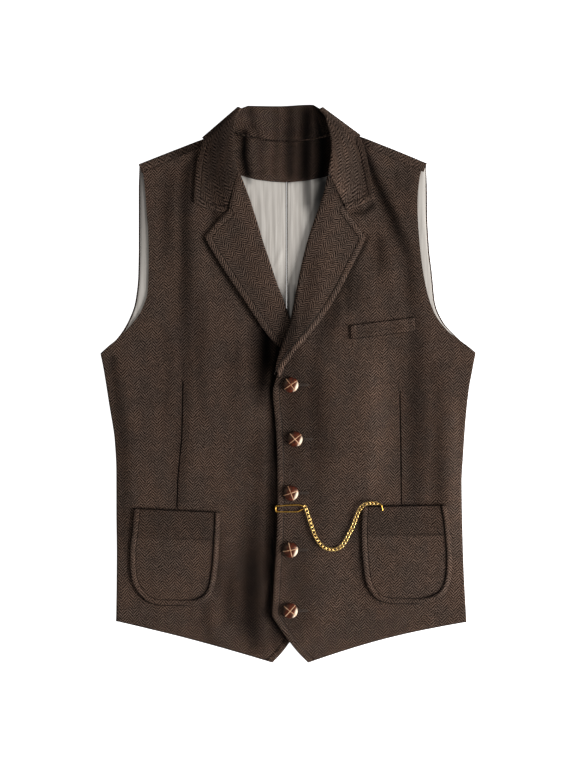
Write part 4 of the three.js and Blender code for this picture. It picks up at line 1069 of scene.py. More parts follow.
def smooth_path(points, step):
    """Points at even spacing on a smooth line through the given ones."""
    points = np.array(points, float)
    knots = np.concatenate([[0], np.cumsum(np.linalg.norm(np.diff(points, axis=0), axis=1))])
    fine = np.linspace(0, knots[-1], 400)
    line = np.array([smooth_curve(knots, column, fine) for column in points.T]).T
    length = np.concatenate([[0], np.cumsum(np.linalg.norm(np.diff(line, axis=0), axis=1))])
    count = max(round(length[-1] / step), 2)
    at = np.linspace(0, length[-1], count + 1)
    return np.array([np.interp(at, length, column) for column in line.T]).T


def frames_along(line):
    """Tangent, level side and upward vectors at each point of a line."""
    forward = unit(np.gradient(line, axis=0))
    side = unit(np.cross(forward, (0.0, 0.0, 1.0)))
    return forward, side, np.cross(side, forward)


def tube(line, radius, sides, closed=False):
    """Points and faces of a round tube along a line."""
    if closed:
        forward = unit(np.roll(line, -1, axis=0) - np.roll(line, 1, axis=0))
        side = unit(np.cross(forward, (0.0, 0.0, 1.0)) + 1e-9)
        up = np.cross(side, forward)
    else:
        forward, side, up = frames_along(line)
    angles = np.linspace(0, 2 * math.pi, sides, endpoint=False)
    ring = np.cos(angles)[None, :, None] * side[:, None] + np.sin(angles)[None, :, None] * up[:, None]
    points = (line[:, None] + radius * ring).reshape(-1, 3)
    count = len(line)
    faces = []
    for row in range(count if closed else count - 1):
        here = row * sides
        there = (row + 1) % count * sides
        for corner in range(sides):
            after = (corner + 1) % sides
            faces.append((here + corner, there + corner, there + after, here + after))
    if not closed:
        faces.append(tuple(range(sides)))
        faces.append(tuple(range((count - 1) * sides, count * sides))[::-1])
    return points, faces


def merged(parts):
    """Points and faces of several meshes as one."""
    points = []
    faces = []
    for part_points, part_faces in parts:
        start = len(points)
        points.extend(np.asarray(part_points).tolist())
        faces.extend([tuple(start + corner for corner in face) for face in part_faces])
    return points, faces


def mesh_object(name, points, faces, material):
    mesh = bpy.data.meshes.new(name)
    mesh.from_pydata((np.array(points) * MM).tolist(), [], faces)
    mesh.validate()
    mesh.shade_smooth()
    mesh.materials.append(material)
    return bpy.data.objects.new(name, mesh)


CHAIN_CLEARANCE = 0.6
CHAIN_DIAMETER = 4.6
LINK_LENGTH = 7.5
LINK_WIRE = 1.35
LINK_TILT = 14
LINK_STEPS = 20
LINK_SIDES = 8


def chain_points():
    rise = TWEED / 2 + CHAIN_CLEARANCE + CHAIN_DIAMETER / 2 + CHAIN_ROUTE["raise"]
    level = front_left_level(CHAIN_ROUTE["x"], CHAIN_ROUTE["y"])
    return np.stack([CHAIN_ROUTE["x"], CHAIN_ROUTE["y"], level + rise], axis=-1)


def link(centre, forward, side, up):
    """One oval curb link, tilted about the chain's line."""
    tilt = math.radians(LINK_TILT)
    flat = side * math.cos(tilt) + up * math.sin(tilt)
    turns = np.linspace(0, 2 * math.pi, LINK_STEPS, endpoint=False)
    long = (LINK_LENGTH - LINK_WIRE) / 2
    wide = (CHAIN_WIDTH - LINK_WIRE) / 2
    line = centre + np.outer(long * np.cos(turns), forward) + np.outer(wide * np.sin(turns), flat)
    plane = np.cross(forward, flat)
    around = unit(np.roll(line, -1, axis=0) - np.roll(line, 1, axis=0))
    outward = np.cross(around, plane)
    angles = np.linspace(0, 2 * math.pi, LINK_SIDES, endpoint=False)
    ring = np.cos(angles)[None, :, None] * outward[:, None] + np.sin(angles)[None, :, None] * plane
    points = (line[:, None] + LINK_WIRE / 2 * ring).reshape(-1, 3)
    faces = []
    for row in range(LINK_STEPS):
        here = row * LINK_SIDES
        there = (row + 1) % LINK_STEPS * LINK_SIDES
        for corner in range(LINK_SIDES):
            after = (corner + 1) % LINK_SIDES
            faces.append((here + corner, there + corner, there + after, here + after))
    return points, faces


def make_chain():
    route = chain_points()
    path = smooth_path(route, CHAIN_PITCH)
    links = [link(*place) for place in zip(path, *frames_along(path))]
    chain = add_piece(mesh_object("curb_chain", *merged(links), GOLD_LOOK), "gold", "watch_chain")
    level = front_left_level(np.maximum(CLIP_ROUTE["x"], CLIP_BEND_X), CLIP_ROUTE["y"])
    rise = TWEED / 2 + CLIP_GAP + WIRE_DIAMETER / 2 + CLIP_ROUTE["rise"]
    clip_line = smooth_path(np.stack([CLIP_ROUTE["x"], CLIP_ROUTE["y"], level + rise], axis=-1), 0.8)
    clip = add_piece(mesh_object("wire_clip", *tube(clip_line, WIRE_DIAMETER / 2, 10), WIRE_LOOK), "gold", "chain_clip")
    hook_z = front_left_level(HOOK_ROUTE["x"], HOOK_ROUTE["y"]) + HOOK_ROUTE["rise"]
    hook_line = smooth_path(np.stack([HOOK_ROUTE["x"], HOOK_ROUTE["y"], hook_z], axis=-1), 0.6)
    hook = add_piece(mesh_object("pocket_hook", *tube(hook_line, WIRE_DIAMETER / 2, 10), WIRE_LOOK), "gold", "chain_hook")
    fine = smooth_path(route, 2) * MM


make_chain()


def add_cloth(node, grid, thickness, material, uv, **marks):
    """A cloth piece in place of its solid."""
    names = list(marks)
    turned = facing_up(grid, uv, *marks.values())
    marks = dict(zip(names, turned[2:]))
    piece = shell(node + "_cloth", turned[0], thickness, material, turned[1], marks)
    add_piece(piece, "satin" if material is SATIN_LOOK else "tweed", node)
    return piece


# Fronts

SIDE_TURN_STEPS = 8
LEAST_TURN = 0.001
EDGE_COLUMNS = np.array([0, 0.8, 1.8, 3, 4.4, 5.6, 6.6, 7.5, 8.4, 9.6, 11.5, 14, 17])
FRONT_STEPS = 56
EDGE_RIDGE = 0.7
RIDGE_FLAT = (0, 2.4)
RIDGE_END = (5.6, 7.6)
EDGE_BAND = 3.6
EDGE_BAND_HALF = 1.8


def side_turn(side_x, side_y, side, turn, level, upward):
    """Turned side seam: points from the seam to where the cloth lies flat. upward is 1 on the back."""
    length = SIDE_TURN_RADIUS * math.pi / 2 - SIDE_SEAM_GAP / 2
    bend = max(turn, LEAST_TURN) / SIDE_TURN_RADIUS
    inset = lerp(length, TWEED / 2 + SIDE_TURN_RADIUS, turn)
    flat_x = side_x - side * inset
    angle = bend * length * np.arange(SIDE_TURN_STEPS, -1, -1) / SIDE_TURN_STEPS
    x = flat_x + side * np.sin(angle) / bend
    z = level + upward * (1 - np.cos(angle)) / bend
    return np.stack([x, np.full_like(x, side_y), z], axis=-1)


def edge_ridge(distance):
    """The turned edge is thicker between its fold and the stitching."""
    return EDGE_RIDGE * smoothstep(distance, *RIDGE_FLAT) * (1 - smoothstep(distance, *RIDGE_END))


def front_grid(rows, side, level_at, edge_line):
    grid = []
    for row in zip(*rows.values()):
        side_x, side_y, edge_x, edge_y, bow, turn = row
        level = float(level_at(side_x - side * SIDE_TURN_RADIUS, side_y))
        points = side_turn(side_x, side_y, side, turn, level, -1)
        flat_x, flat_y = points[-1][:2]
        width = math.hypot(edge_x - flat_x, edge_y - flat_y)
        near = 1 - EDGE_COLUMNS[::-1] / width
        shares = np.concatenate([np.linspace(0, near[0], FRONT_STEPS, endpoint=False)[1:], near])
        x = lerp(flat_x, edge_x, shares)
        y = lerp(flat_y, edge_y, shares) + bow * np.sin(math.pi * shares)
        z = level_at(x, y) + edge_ridge(distance_to(edge_line, x, y))
        grid.append(np.concatenate([points, np.stack([x, y, z], axis=-1)]))
    return np.array(grid)


def line_of(rows, x, y, keep=slice(None)):
    return list(zip(rows[x][keep], rows[y][keep]))


DART_RIGHT = [(-131.4, 2), (-132.8, -66.8), (-137.6, -115.6), (-138.9, -154)]
DART_LEFT = [(139.2, -11.8), (140.4, -80), (141.1, -150)]
ROW_STEP = 4
OPEN_EDGE_TOP = 84


def dart_mark(line, x, y):
    """Signed distance across a dart's seam, far away beyond its ends."""
    xs = np.array([point[0] for point in line[::-1]])
    ys = np.array([point[1] for point in line[::-1]])
    off = x - np.interp(y, ys, xs)
    beyond = np.maximum(y - ys[-1], 0) + np.maximum(ys[0] - y, 0)
    return np.where(off < 0, off - beyond, off + beyond)


def make_front(node, rows, side, level_at, armpit, dart, shades, edge_light):
    fine = smooth_rows(rows, ROW_STEP, (CUTAWAY_ROW, armpit))
    edge_line = line_of(fine, "edge_x", "edge_y", fine["edge_y"] < OPEN_EDGE_TOP)
    grid = front_grid(fine, side, level_at, edge_line)
    x, y = grid[..., 0], grid[..., 1]
    hem = [(point[0], point[1]) for point in grid[0]]
    from_edge = distance_to(edge_line, x, y)
    edge = np.minimum(from_edge, distance_to(hem, x, y) + STITCH_INSET)
    # edge_light paints a highlight band along the front edge, between the fold and the stitching.
    band = edge_light * np.exp(-(((from_edge - EDGE_BAND) / EDGE_BAND_HALF) ** 2))
    add_cloth(
        node, grid, TWEED, TWEED_LOOK, grid[..., :2].copy(),
        edge=edge, dart=dart_mark(dart, x, y), shade=shade_at(shades, x, y) - band,
    )


make_front("front_right", FRONT_RIGHT, -1, front_right_level, ARMPIT_RIGHT_ROW, DART_RIGHT, SHADES_RIGHT, 0)
make_front("front_left", FRONT_LEFT, 1, front_left_level, ARMPIT_LEFT_ROW, DART_LEFT, SHADES_LEFT, 0.22)


# Back

# Painted shade: a dark line where the cloth turns out of sight along the upper outlines.
OUTLINE_DARK = 0.9
YOKE_SHARES = np.linspace(0.12, 0.88, 10)
WRAP_STEPS = 10
BACK_COLUMN_STEP = 5
BACK_ROW_STEP = 7
SEAM_TUCK = (-0.3, 2.4)
SEAM_TUCK_DROP = 1.2


def shoulder_outward(yoke):
    """Unit vector in plan across the shoulder, away from the garment."""
    neck = YOKE_NECK_ROW - 3
    along = unit(np.array([yoke["x"][neck] - yoke["x"][0], yoke["y"][neck] - yoke["y"][0]]))
    return np.array([-along[1] * np.sign(along[0]), abs(along[0])])


def fine_yoke(yoke):
    """The yoke's table with closer columns. Its turn steps from shoulder to neck as the solid's does."""
    count = math.ceil(abs(yoke["x"][-1] - yoke["x"][0]) / BACK_COLUMN_STEP)
    even = np.linspace(yoke["x"][0], yoke["x"][-1], count)
    at = np.union1d(even, yoke["x"])
    at = at if yoke["x"][0] < yoke["x"][-1] else at[::-1]
    order = np.argsort(yoke["x"])
    knots = yoke["x"][order]
    return {name: (at if name == "x" else np.interp(at, knots, column[order])) for name, column in yoke.items()}


def wrap_rows(yoke, outward, front_level_at, below):
    """Rows that turn the back over the shoulder to the shoulder seam, and end it at the neck."""
    own = {name: np.concatenate([np.full(SIDE_TURN_STEPS, column[0]), column]) for name, column in yoke.items()}
    x = own["x"].copy()
    x[:SIDE_TURN_STEPS] += below[:SIDE_TURN_STEPS, 0] - below[SIDE_TURN_STEPS, 0]
    y = own["y"] - (x - own["x"]) * outward[0] / outward[1]
    towards_neck = smoothstep(own["turn"], NECK_TURN, 1)
    out_x = outward[0] * towards_neck
    out_y = lerp(1, outward[1], towards_neck)
    bottom = back_level(x, y - TWEED)
    radius = (front_level_at(x, y - TWEED) - bottom) / 2
    inset = lerp(TWEED, radius + TWEED / 2, towards_neck)
    rows = []
    for step in range(WRAP_STEPS + 3):
        angle = math.pi * own["turn"] * min(step / WRAP_STEPS, 1)
        past = max(step - WRAP_STEPS, 0) / 2
        reach = radius * np.sin(angle) - inset - past * (own["width"] - inset)
        rows.append(np.stack([x + out_x * reach, y + out_y * reach, bottom + radius * (1 - np.cos(angle))], axis=-1))
    tuck = lerp(SEAM_TUCK[0], SEAM_TUCK[1], towards_neck)
    drop = SEAM_TUCK_DROP * towards_neck
    rows.append(rows[-1] - np.stack([out_x * tuck, out_y * tuck, drop], axis=-1))
    return rows


def back_grid(rows, yoke, side, front_level_at):
    outward = shoulder_outward(yoke)
    fine = fine_yoke(yoke)
    shares = (fine["x"][1:] - fine["x"][0]) / (fine["x"][-1] - fine["x"][0])
    grid = []
    for side_x, side_y, centre_y, turn in zip(*rows.values()):
        level = float(back_level(side_x, side_y))
        points = side_turn(side_x, side_y, side, turn, level, 1)
        x = lerp(points[-1][0], fine["x"][-1], shares)
        y = lerp(points[-1][1], centre_y, shares)
        grid.append(np.concatenate([points, np.stack([x, y, back_level(x, y)], axis=-1)]))
    top = wrap_rows(fine, outward, front_level_at, grid[-1])
    last = grid[-1]
    for share in YOKE_SHARES:
        x = lerp(last[:, 0], top[0][:, 0], share)
        y = lerp(last[:, 1], top[0][:, 1], share)
        grid.append(np.stack([x, y, back_level(x, y)], axis=-1))
    return np.array(grid + top)


def cloth_lengths(grid):
    """Place of each point along its row and its column of the grid, as the cloth lies."""
    across = np.linalg.norm(np.diff(grid, axis=1), axis=-1)
    along = np.linalg.norm(np.diff(grid, axis=0), axis=-1)
    u = np.concatenate([np.zeros((grid.shape[0], 1)), np.cumsum(across, axis=1)], axis=1)
    v = np.concatenate([np.zeros((1, grid.shape[1])), np.cumsum(along, axis=0)], axis=0)
    return np.stack([u, v], axis=-1)


def make_back(node, rows, yoke, side, front_level_at):
    fine = smooth_rows(rows, BACK_ROW_STEP, (BACK_ARMPIT_ROW,))
    grid = back_grid(fine, yoke, side, front_level_at)
    x, y = grid[..., 0], grid[..., 1]
    lengths = cloth_lengths(grid)
    uv = np.stack([x, lengths[..., 1]], axis=-1)
    shade = np.zeros(grid.shape[:2])
    wrap = len(grid) - WRAP_STEPS - 4
    shade[wrap:] = shade_at(SHADES_YOKE, x[wrap:], y[wrap:])
    # Painted shade along the middle of the wrap, where the back turns out of sight over the shoulder.
    outline = wrap + WRAP_STEPS // 2
    shade[outline - 1:outline + 2] = OUTLINE_DARK
    add_cloth(node, grid, TWEED, TWEED_LOOK, uv, shade=shade)


make_back("back_right", BACK_RIGHT, YOKE_RIGHT, -1, front_right_level)
make_back("back_left", BACK_LEFT, YOKE_LEFT, 1, front_left_level)


# Lining and neck facing lie on the back

LINING_ROW_STEP = 4
LINING_COLUMN_STEP = 2.4
LINING_TOP_SHARES = np.linspace(0.1, 1, 8)


def crease_height(x, y):
    return fold_height(LINING_CREASES, x, y) + fold_height([PLEAT], x, y)


def make_lining(node, rows, top):
    fine = smooth_rows(rows, LINING_ROW_STEP)
    order = np.argsort(top["x"])
    count = math.ceil(np.ptp(top["x"]) / LINING_COLUMN_STEP)
    top_x = np.linspace(top["x"][0], top["x"][-1], count)
    top_y = np.interp(top_x, top["x"][order], top["y"][order])
    shares = (top_x - top_x[0]) / (top_x[-1] - top_x[0])
    grid = []
    for side_x, side_y, centre_y, _ in zip(*fine.values()):
        grid.append((lerp(side_x, top_x[-1], shares), lerp(side_y, centre_y, shares)))
    last_x, last_y = grid[-1]
    for share in LINING_TOP_SHARES:
        grid.append((lerp(last_x, top_x, share), lerp(last_y, top_y, share)))
    x = np.array([row[0] for row in grid])
    y = np.array([row[1] for row in grid])
    z = back_level(x, y) + LINING_RISE + crease_height(x, y)
    points = np.stack([x, y, z], axis=-1)
    shade = shade_at(SHADES_NECK + LINING_SEAM_SHADE, x, y)
    add_cloth(node, points, LINING, SATIN_LOOK, points[..., :2].copy(), shade=shade)


FACING_STEPS = 24


def make_facing():
    fine = smooth_rows(NECK_FACING, 3)
    shares = np.linspace(0, 1, FACING_STEPS)[:, None]
    x = lerp(fine["low_x"], fine["top_x"], shares)
    y = lerp(fine["low_y"], fine["top_y"], shares)
    grid = np.stack([x, y, back_level(x, y) + FACING_RISE], axis=-1)
    add_cloth("neck_facing", grid, FACING, TWEED_LOOK, grid[..., :2].copy(), shade=shade_at(SHADES_NECK, x, y))


make_lining("lining_right", LINING_RIGHT, LINING_TOP_RIGHT)
make_lining("lining_left", LINING_LEFT, LINING_TOP_LEFT)
make_facing()


# Lapels

LAPEL_TURN_STEPS = 12
LAPEL_STEPS = 22
LAPEL_SWELL = 1.1
LAPEL_SWELL_SLOPE = 1 / 30
PRESSED_FLAT = (83, 143)
LAPEL_ROW_STEP = 2.6
EDGE_SPAN = 34


def across_roll(rows, side):
    """Unit vectors across the roll line, pointing from the neck opening into the panel."""
    line = np.stack([rows["roll_x"], rows["roll_y"]], axis=-1)
    along = unit(np.gradient(line, axis=0))
    across = np.stack([-along[:, 1], along[:, 0]], axis=-1)
    return np.where((across[:, :1] * side) < 0, -across, across)


def outward_shares(width):
    """Shares from the roll to the free edge, closer together near the edge."""
    near = 1 - EDGE_COLUMNS[::-1] * min(1, width / EDGE_SPAN) / width
    return np.concatenate([np.linspace(0, near[0], LAPEL_STEPS, endpoint=False)[1:], near])


def lapel_grid(rows, side, level_at, outline):
    grid = []
    columns = zip(rows["roll_x"], rows["roll_y"], rows["out_x"], rows["out_y"], across_roll(rows, side))
    for roll_x, roll_y, out_x, out_y, across in columns:
        centre = np.array([roll_x, roll_y]) + across * (LAPEL_TURN_RADIUS + LAPEL / 2)
        level = float(level_at(*centre))
        points = []
        for tuck in np.linspace(FACING_TUCK, 0, 4, endpoint=False):
            place = centre + across * tuck
            points.append((*place, float(level_at(*place)) - LAPEL_STEP))
        for angle in np.linspace(0, math.pi, LAPEL_TURN_STEPS + 1):
            place = centre - across * LAPEL_TURN_RADIUS * math.sin(angle)
            points.append((*place, level - LAPEL_STEP * math.cos(angle)))
        width = math.hypot(out_x - centre[0], out_y - centre[1])
        swell = min(LAPEL_SWELL, width * LAPEL_SWELL_SLOPE) * smoothstep(roll_y, *PRESSED_FLAT)
        shares = outward_shares(width)
        x = lerp(centre[0], out_x, shares)
        y = lerp(centre[1], out_y, shares)
        z = level_at(x, y) + LAPEL_STEP + swell * np.sin(math.pi * shares)
        z = z + edge_ridge(distance_to(outline, x, y))
        grid.append(np.concatenate([np.array(points), np.stack([x, y, z], axis=-1)]))
    return np.array(grid)


def turned_uv(x, y, degrees):
    """Cloth places of points in plan, with the weave turned."""
    turn = math.radians(degrees)
    return np.stack([x * math.cos(turn) + y * math.sin(turn), y * math.cos(turn) - x * math.sin(turn)], axis=-1)


LAPEL_BAND = 3
LAPEL_LIGHT_SPAN = (50, 95)


def make_lapel(node, rows, side, level_at, grain, shades, lapel_light):
    fine = smooth_rows(rows, LAPEL_ROW_STEP, (LAPEL_TIP_ROW,))
    outline = line_of(fine, "out_x", "out_y")
    grid = lapel_grid(fine, side, level_at, outline)
    x, y = grid[..., 0], grid[..., 1]
    edge = np.where(np.arange(grid.shape[1]) < LAPEL_TURN_STEPS, NO_MARK, distance_to(outline, x, y))
    # Painted highlight band along the lapel's free edge, its strength going from lapel_light's first value low down to
    # its second higher up.
    lit = lerp(*lapel_light, smoothstep(y, *LAPEL_LIGHT_SPAN))
    band = lit * np.exp(-(((edge - LAPEL_BAND) / EDGE_BAND_HALF) ** 2))
    shade = shade_at(shades, x, y) - band
    add_cloth(node, grid, LAPEL, TWEED_LOOK, turned_uv(x, y, grain), edge=edge, shade=shade)


LAPEL_GRAIN_RIGHT = 34
LAPEL_GRAIN_LEFT = -36
SHADES_LAPEL_RIGHT = [
    [[-60, 262, 1.6, 0.4], [-76, 213, 1.6, 0.5]],
    [[8, 62, 10, 0.9], [-2, 52, 12, 0.8], [-10, 40, 12, 0.9]],
]
SHADES_LAPEL_LEFT = [
    [[12, 110, 5, 0.4], [8, 92, 8, 0.6], [4, 70, 11, 0.65], [0, 40, 12, 0.6]],
    [[36, 156, 12, 0.2], [25, 112, 14, 0.45], [20, 70, 13, 0.5]],
    [[49, 258, 1.6, 0.4], [71, 217, 1.6, 0.5]],
]
make_lapel("lapel_right", LAPEL_RIGHT, -1, front_right_level, LAPEL_GRAIN_RIGHT, SHADES_LAPEL_RIGHT, (0, 0.15))
make_lapel("lapel_left", LAPEL_LEFT, 1, front_left_level, LAPEL_GRAIN_LEFT, SHADES_LAPEL_LEFT, (0.75, 0.2))


# Collar: each section runs from the neck seam up the stand, round the roll and down the fall.

COLLAR_TURN_STEPS = 10
STAND_SHARES = np.linspace(0, 0.92, 8)
FALL_LEVEL = COLLAR / 2
STAND_LEVEL = BACK_LEVEL + FALL_LIFT + FACING_RISE
COLLAR_ROW_STEP = 3
SHOULDER_FOLD_ANGLES = np.arange(15, 181, 15)
FOLD_SET_BACK = 1.6
FOLD_TOP_RISE = 0.25
FOLD_PROBE = (5, 8)
OUTLINE_ANGLE = 16


def collar_section(seam, stand_end, fall_end, bulge, fall_points):
    """stand_end and fall_end are the two ends of the roll, bulge the way its half circle points."""
    seam, stand_end, fall_end = (np.array(point, float) for point in (seam, stand_end, fall_end))
    stand = lerp(seam, stand_end, STAND_SHARES[:, None])
    centre = (stand_end + fall_end) / 2
    arm = stand_end - centre
    radius = np.linalg.norm(arm)
    angles = np.linspace(0, math.pi, COLLAR_TURN_STEPS + 1)[:, None]
    turn = centre + arm * np.cos(angles) + np.array([*bulge, 0.0]) * radius * np.sin(angles)
    return np.concatenate([stand, turn, fall_points])


def leaf_sections(rows, side, level_at, outline):
    sections = []
    columns = zip(*(rows[name] for name in LEAF_COLUMNS), across_roll(rows, side))
    for roll_x, roll_y, out_x, out_y, seam_x, seam_y, across in columns:
        centre = np.array([roll_x, roll_y]) + across * (COLLAR_TURN_RADIUS + COLLAR / 2)
        level = float(level_at(*centre))
        shares = outward_shares(math.hypot(out_x - centre[0], out_y - centre[1]))
        x = lerp(centre[0], out_x, shares)
        y = lerp(centre[1], out_y, shares)
        swell = lerp(2 * COLLAR_TURN_RADIUS - LEAF_STEP, 0, shares) + np.sin(math.pi * shares)
        z = level_at(x, y) + LEAF_STEP + swell + edge_ridge(distance_to(outline, x, y))
        sections.append(collar_section(
            (seam_x, seam_y, float(level_at(seam_x, seam_y))),
            (*centre, level),
            (*centre, level + 2 * COLLAR_TURN_RADIUS),
            -across,
            np.stack([x, y, z], axis=-1),
        ))
    return sections


def shoulder_fold_sections(fold, side, level_at):
    """The fall turns round the slanting fold, and the stand turns with it inside."""
    edge, top, seam = (np.array(fold[name], float) for name in ("out", "top", "seam"))
    along = unit(top - edge)
    outward = np.array([-along[1], along[0]])
    outward = outward if outward[1] > 0 else -outward

    def fold_point(plan, inset, radius, middle, angle):
        reach = radius * math.sin(angle) - inset
        return np.array([*(plan + outward * reach), middle + radius * math.cos(angle)])

    def fall_radius(plan):
        return (float(level_at(*(plan - outward * FOLD_PROBE[0]))) + LEAF_STEP - FALL_LEVEL) / 2

    sections = []
    for angle in np.radians(SHOULDER_FOLD_ANGLES):
        set_back = COLLAR / 2 + FOLD_SET_BACK * math.sin(angle)
        roll_top = top - along * set_back
        roll_radius = fall_radius(roll_top) + FOLD_TOP_RISE * max(math.cos(angle), 0)
        fall_end = fold_point(roll_top, roll_radius + COLLAR / 2, roll_radius, FALL_LEVEL + roll_radius, angle)
        front_stand = float(level_at(roll_top[0], roll_top[1] - FOLD_PROBE[1]))
        stand_middle = (front_stand + STAND_LEVEL) / 2
        stand_radius = (front_stand - STAND_LEVEL) / 2
        stand_end = fold_point(roll_top, roll_radius + COLLAR / 2, stand_radius, stand_middle, angle)
        seam_end = fold_point(seam, 0, stand_radius, stand_middle, angle)
        bulge_angle = lerp(0 if side < 0 else math.pi, math.pi / 2, angle / math.pi)
        bulge = (math.cos(bulge_angle), math.sin(bulge_angle))
        shares = outward_shares(np.linalg.norm(edge - roll_top))
        falls = []
        for share in shares:
            radius = lerp(roll_radius, fall_radius(edge), share)
            plan = lerp(roll_top, edge, share)
            falls.append(fold_point(plan, radius + COLLAR / 2, radius, FALL_LEVEL + radius, angle))
        sections.append(collar_section(seam_end, stand_end, fall_end, bulge, np.array(falls)))
    return sections


def collar_back_sections():
    radius = (STAND_LEVEL - FALL_LEVEL) / 2
    rows = smooth_rows(COLLAR_BACK, COLLAR_ROW_STEP)
    sections = []
    for roll_x, roll_y, out_x, out_y, seam_x, seam_y in zip(*(rows[name] for name in LEAF_COLUMNS)):
        end_y = roll_y - radius - COLLAR / 2
        shares = outward_shares(math.hypot(out_x - roll_x, out_y - end_y))
        falls = [(lerp(roll_x, out_x, share), lerp(end_y, out_y, share), FALL_LEVEL) for share in shares]
        sections.append(collar_section(
            (seam_x, seam_y, STAND_LEVEL), (roll_x, end_y, STAND_LEVEL), (roll_x, end_y, FALL_LEVEL),
            (0.0, 1.0), np.array(falls),
        ))
    return sections


SHADES_FALL = [
    [[-84, 322, 28, 0.66], [-88, 290, 30, 0.66], [-86, 255, 26, 0.6], [-84, 228, 16, 0.5]],
    [[-61, 265, 1.6, 0.6], [-77.4, 214, 1.6, 0.6]],
    [[49, 260, 1.6, 0.4], [72.4, 217, 1.6, 0.4]],
    [[90, 300, 8, 0.4], [98, 270, 9, 0.45], [102, 240, 9, 0.4]],
    [[64, 290, 12, -0.2], [60, 240, 14, -0.45], [66, 222, 8, -0.2]],
]


def make_collar():
    right = smooth_rows(LEAF_RIGHT, COLLAR_ROW_STEP, (LEAF_TIP_ROW,))
    left = smooth_rows(LEAF_LEFT, COLLAR_ROW_STEP, (LEAF_TIP_ROW,))
    outlines = [line_of(rows, "out_x", "out_y") for rows in (right, left)]
    leaf = leaf_sections(right, -1, front_right_level, outlines[0])
    back = collar_back_sections()
    sections = [
        *leaf,
        *shoulder_fold_sections(SHOULDER_FOLD_RIGHT, -1, front_right_level),
        *back,
        *shoulder_fold_sections(SHOULDER_FOLD_LEFT, 1, front_left_level)[::-1],
        *leaf_sections(left, 1, front_left_level, outlines[1])[::-1],
    ]
    grid = np.array(sections)
    lengths = cloth_lengths(grid)
    middle_row = lengths[:, grid.shape[1] // 2, 1]
    uv = np.stack([lengths[..., 0], np.broadcast_to(middle_row[:, None], grid.shape[:2])], axis=-1)
    x, y = grid[..., 0], grid[..., 1]
    fall = np.arange(grid.shape[1]) >= len(STAND_SHARES) + COLLAR_TURN_STEPS
    edge = np.where(fall, np.minimum(distance_to(outlines[0], x, y), distance_to(outlines[1], x, y)), NO_MARK)
    stand = np.arange(grid.shape[1]) < len(STAND_SHARES) + COLLAR_TURN_STEPS // 2
    shade = np.where(stand, shade_at(SHADES_NECK, x, y), shade_at(SHADES_FALL, x, y))
    # Painted shade along the outline of the shoulder folds and the top of the roll at the back.
    folded = np.abs(SHOULDER_FOLD_ANGLES - 90) <= OUTLINE_ANGLE
    near_fold = np.zeros(len(grid), bool)
    near_fold[len(leaf):len(leaf) + len(folded)] = folded
    after_back = len(leaf) + len(folded) + len(back)
    near_fold[after_back:after_back + len(folded)] = folded[::-1]
    shade[near_fold] = OUTLINE_DARK
    top = len(STAND_SHARES) + COLLAR_TURN_STEPS // 2
    shade[len(leaf) + len(folded):after_back, top - 2:top + 2] = OUTLINE_DARK
    add_cloth("collar", grid, COLLAR, TWEED_LOOK, uv, edge=edge, shade=shade)


make_collar()


# Pockets and welt lie on the fronts

PATCH_GAP = 0.45
POCKET_PUFF = 1.2
POCKET_PUFF_LOSS = 0.7
BAND_STEP = 0.45
POCKET_ROW_STEP = 2.2
PATCH_STEPS = 26


def patch_shares(width):
    near = EDGE_COLUMNS / width
    return np.concatenate([near, np.linspace(near[-1], 1 - near[-1], PATCH_STEPS)[1:-1], 1 - near[::-1]])


def patch_grid(rows, level_at, thickness, rise_at):
    grid = []
    outline = line_of(rows, "left_x", "left_y") + line_of(rows, "right_x", "right_y")[::-1]
    for index, (left_x, left_y, right_x, right_y) in enumerate(zip(*rows.values())):
        shares = patch_shares(math.hypot(right_x - left_x, right_y - left_y))
        x = lerp(left_x, right_x, shares)
        y = lerp(left_y, right_y, shares)
        rise = TWEED / 2 + PATCH_GAP + thickness / 2 + rise_at(shares, index / (len(rows["left_x"]) - 1), x, y)
        z = level_at(x, y) + rise + edge_ridge(distance_to(outline, x, y))
        grid.append(np.stack([x, y, z], axis=-1))
    return np.array(grid), outline


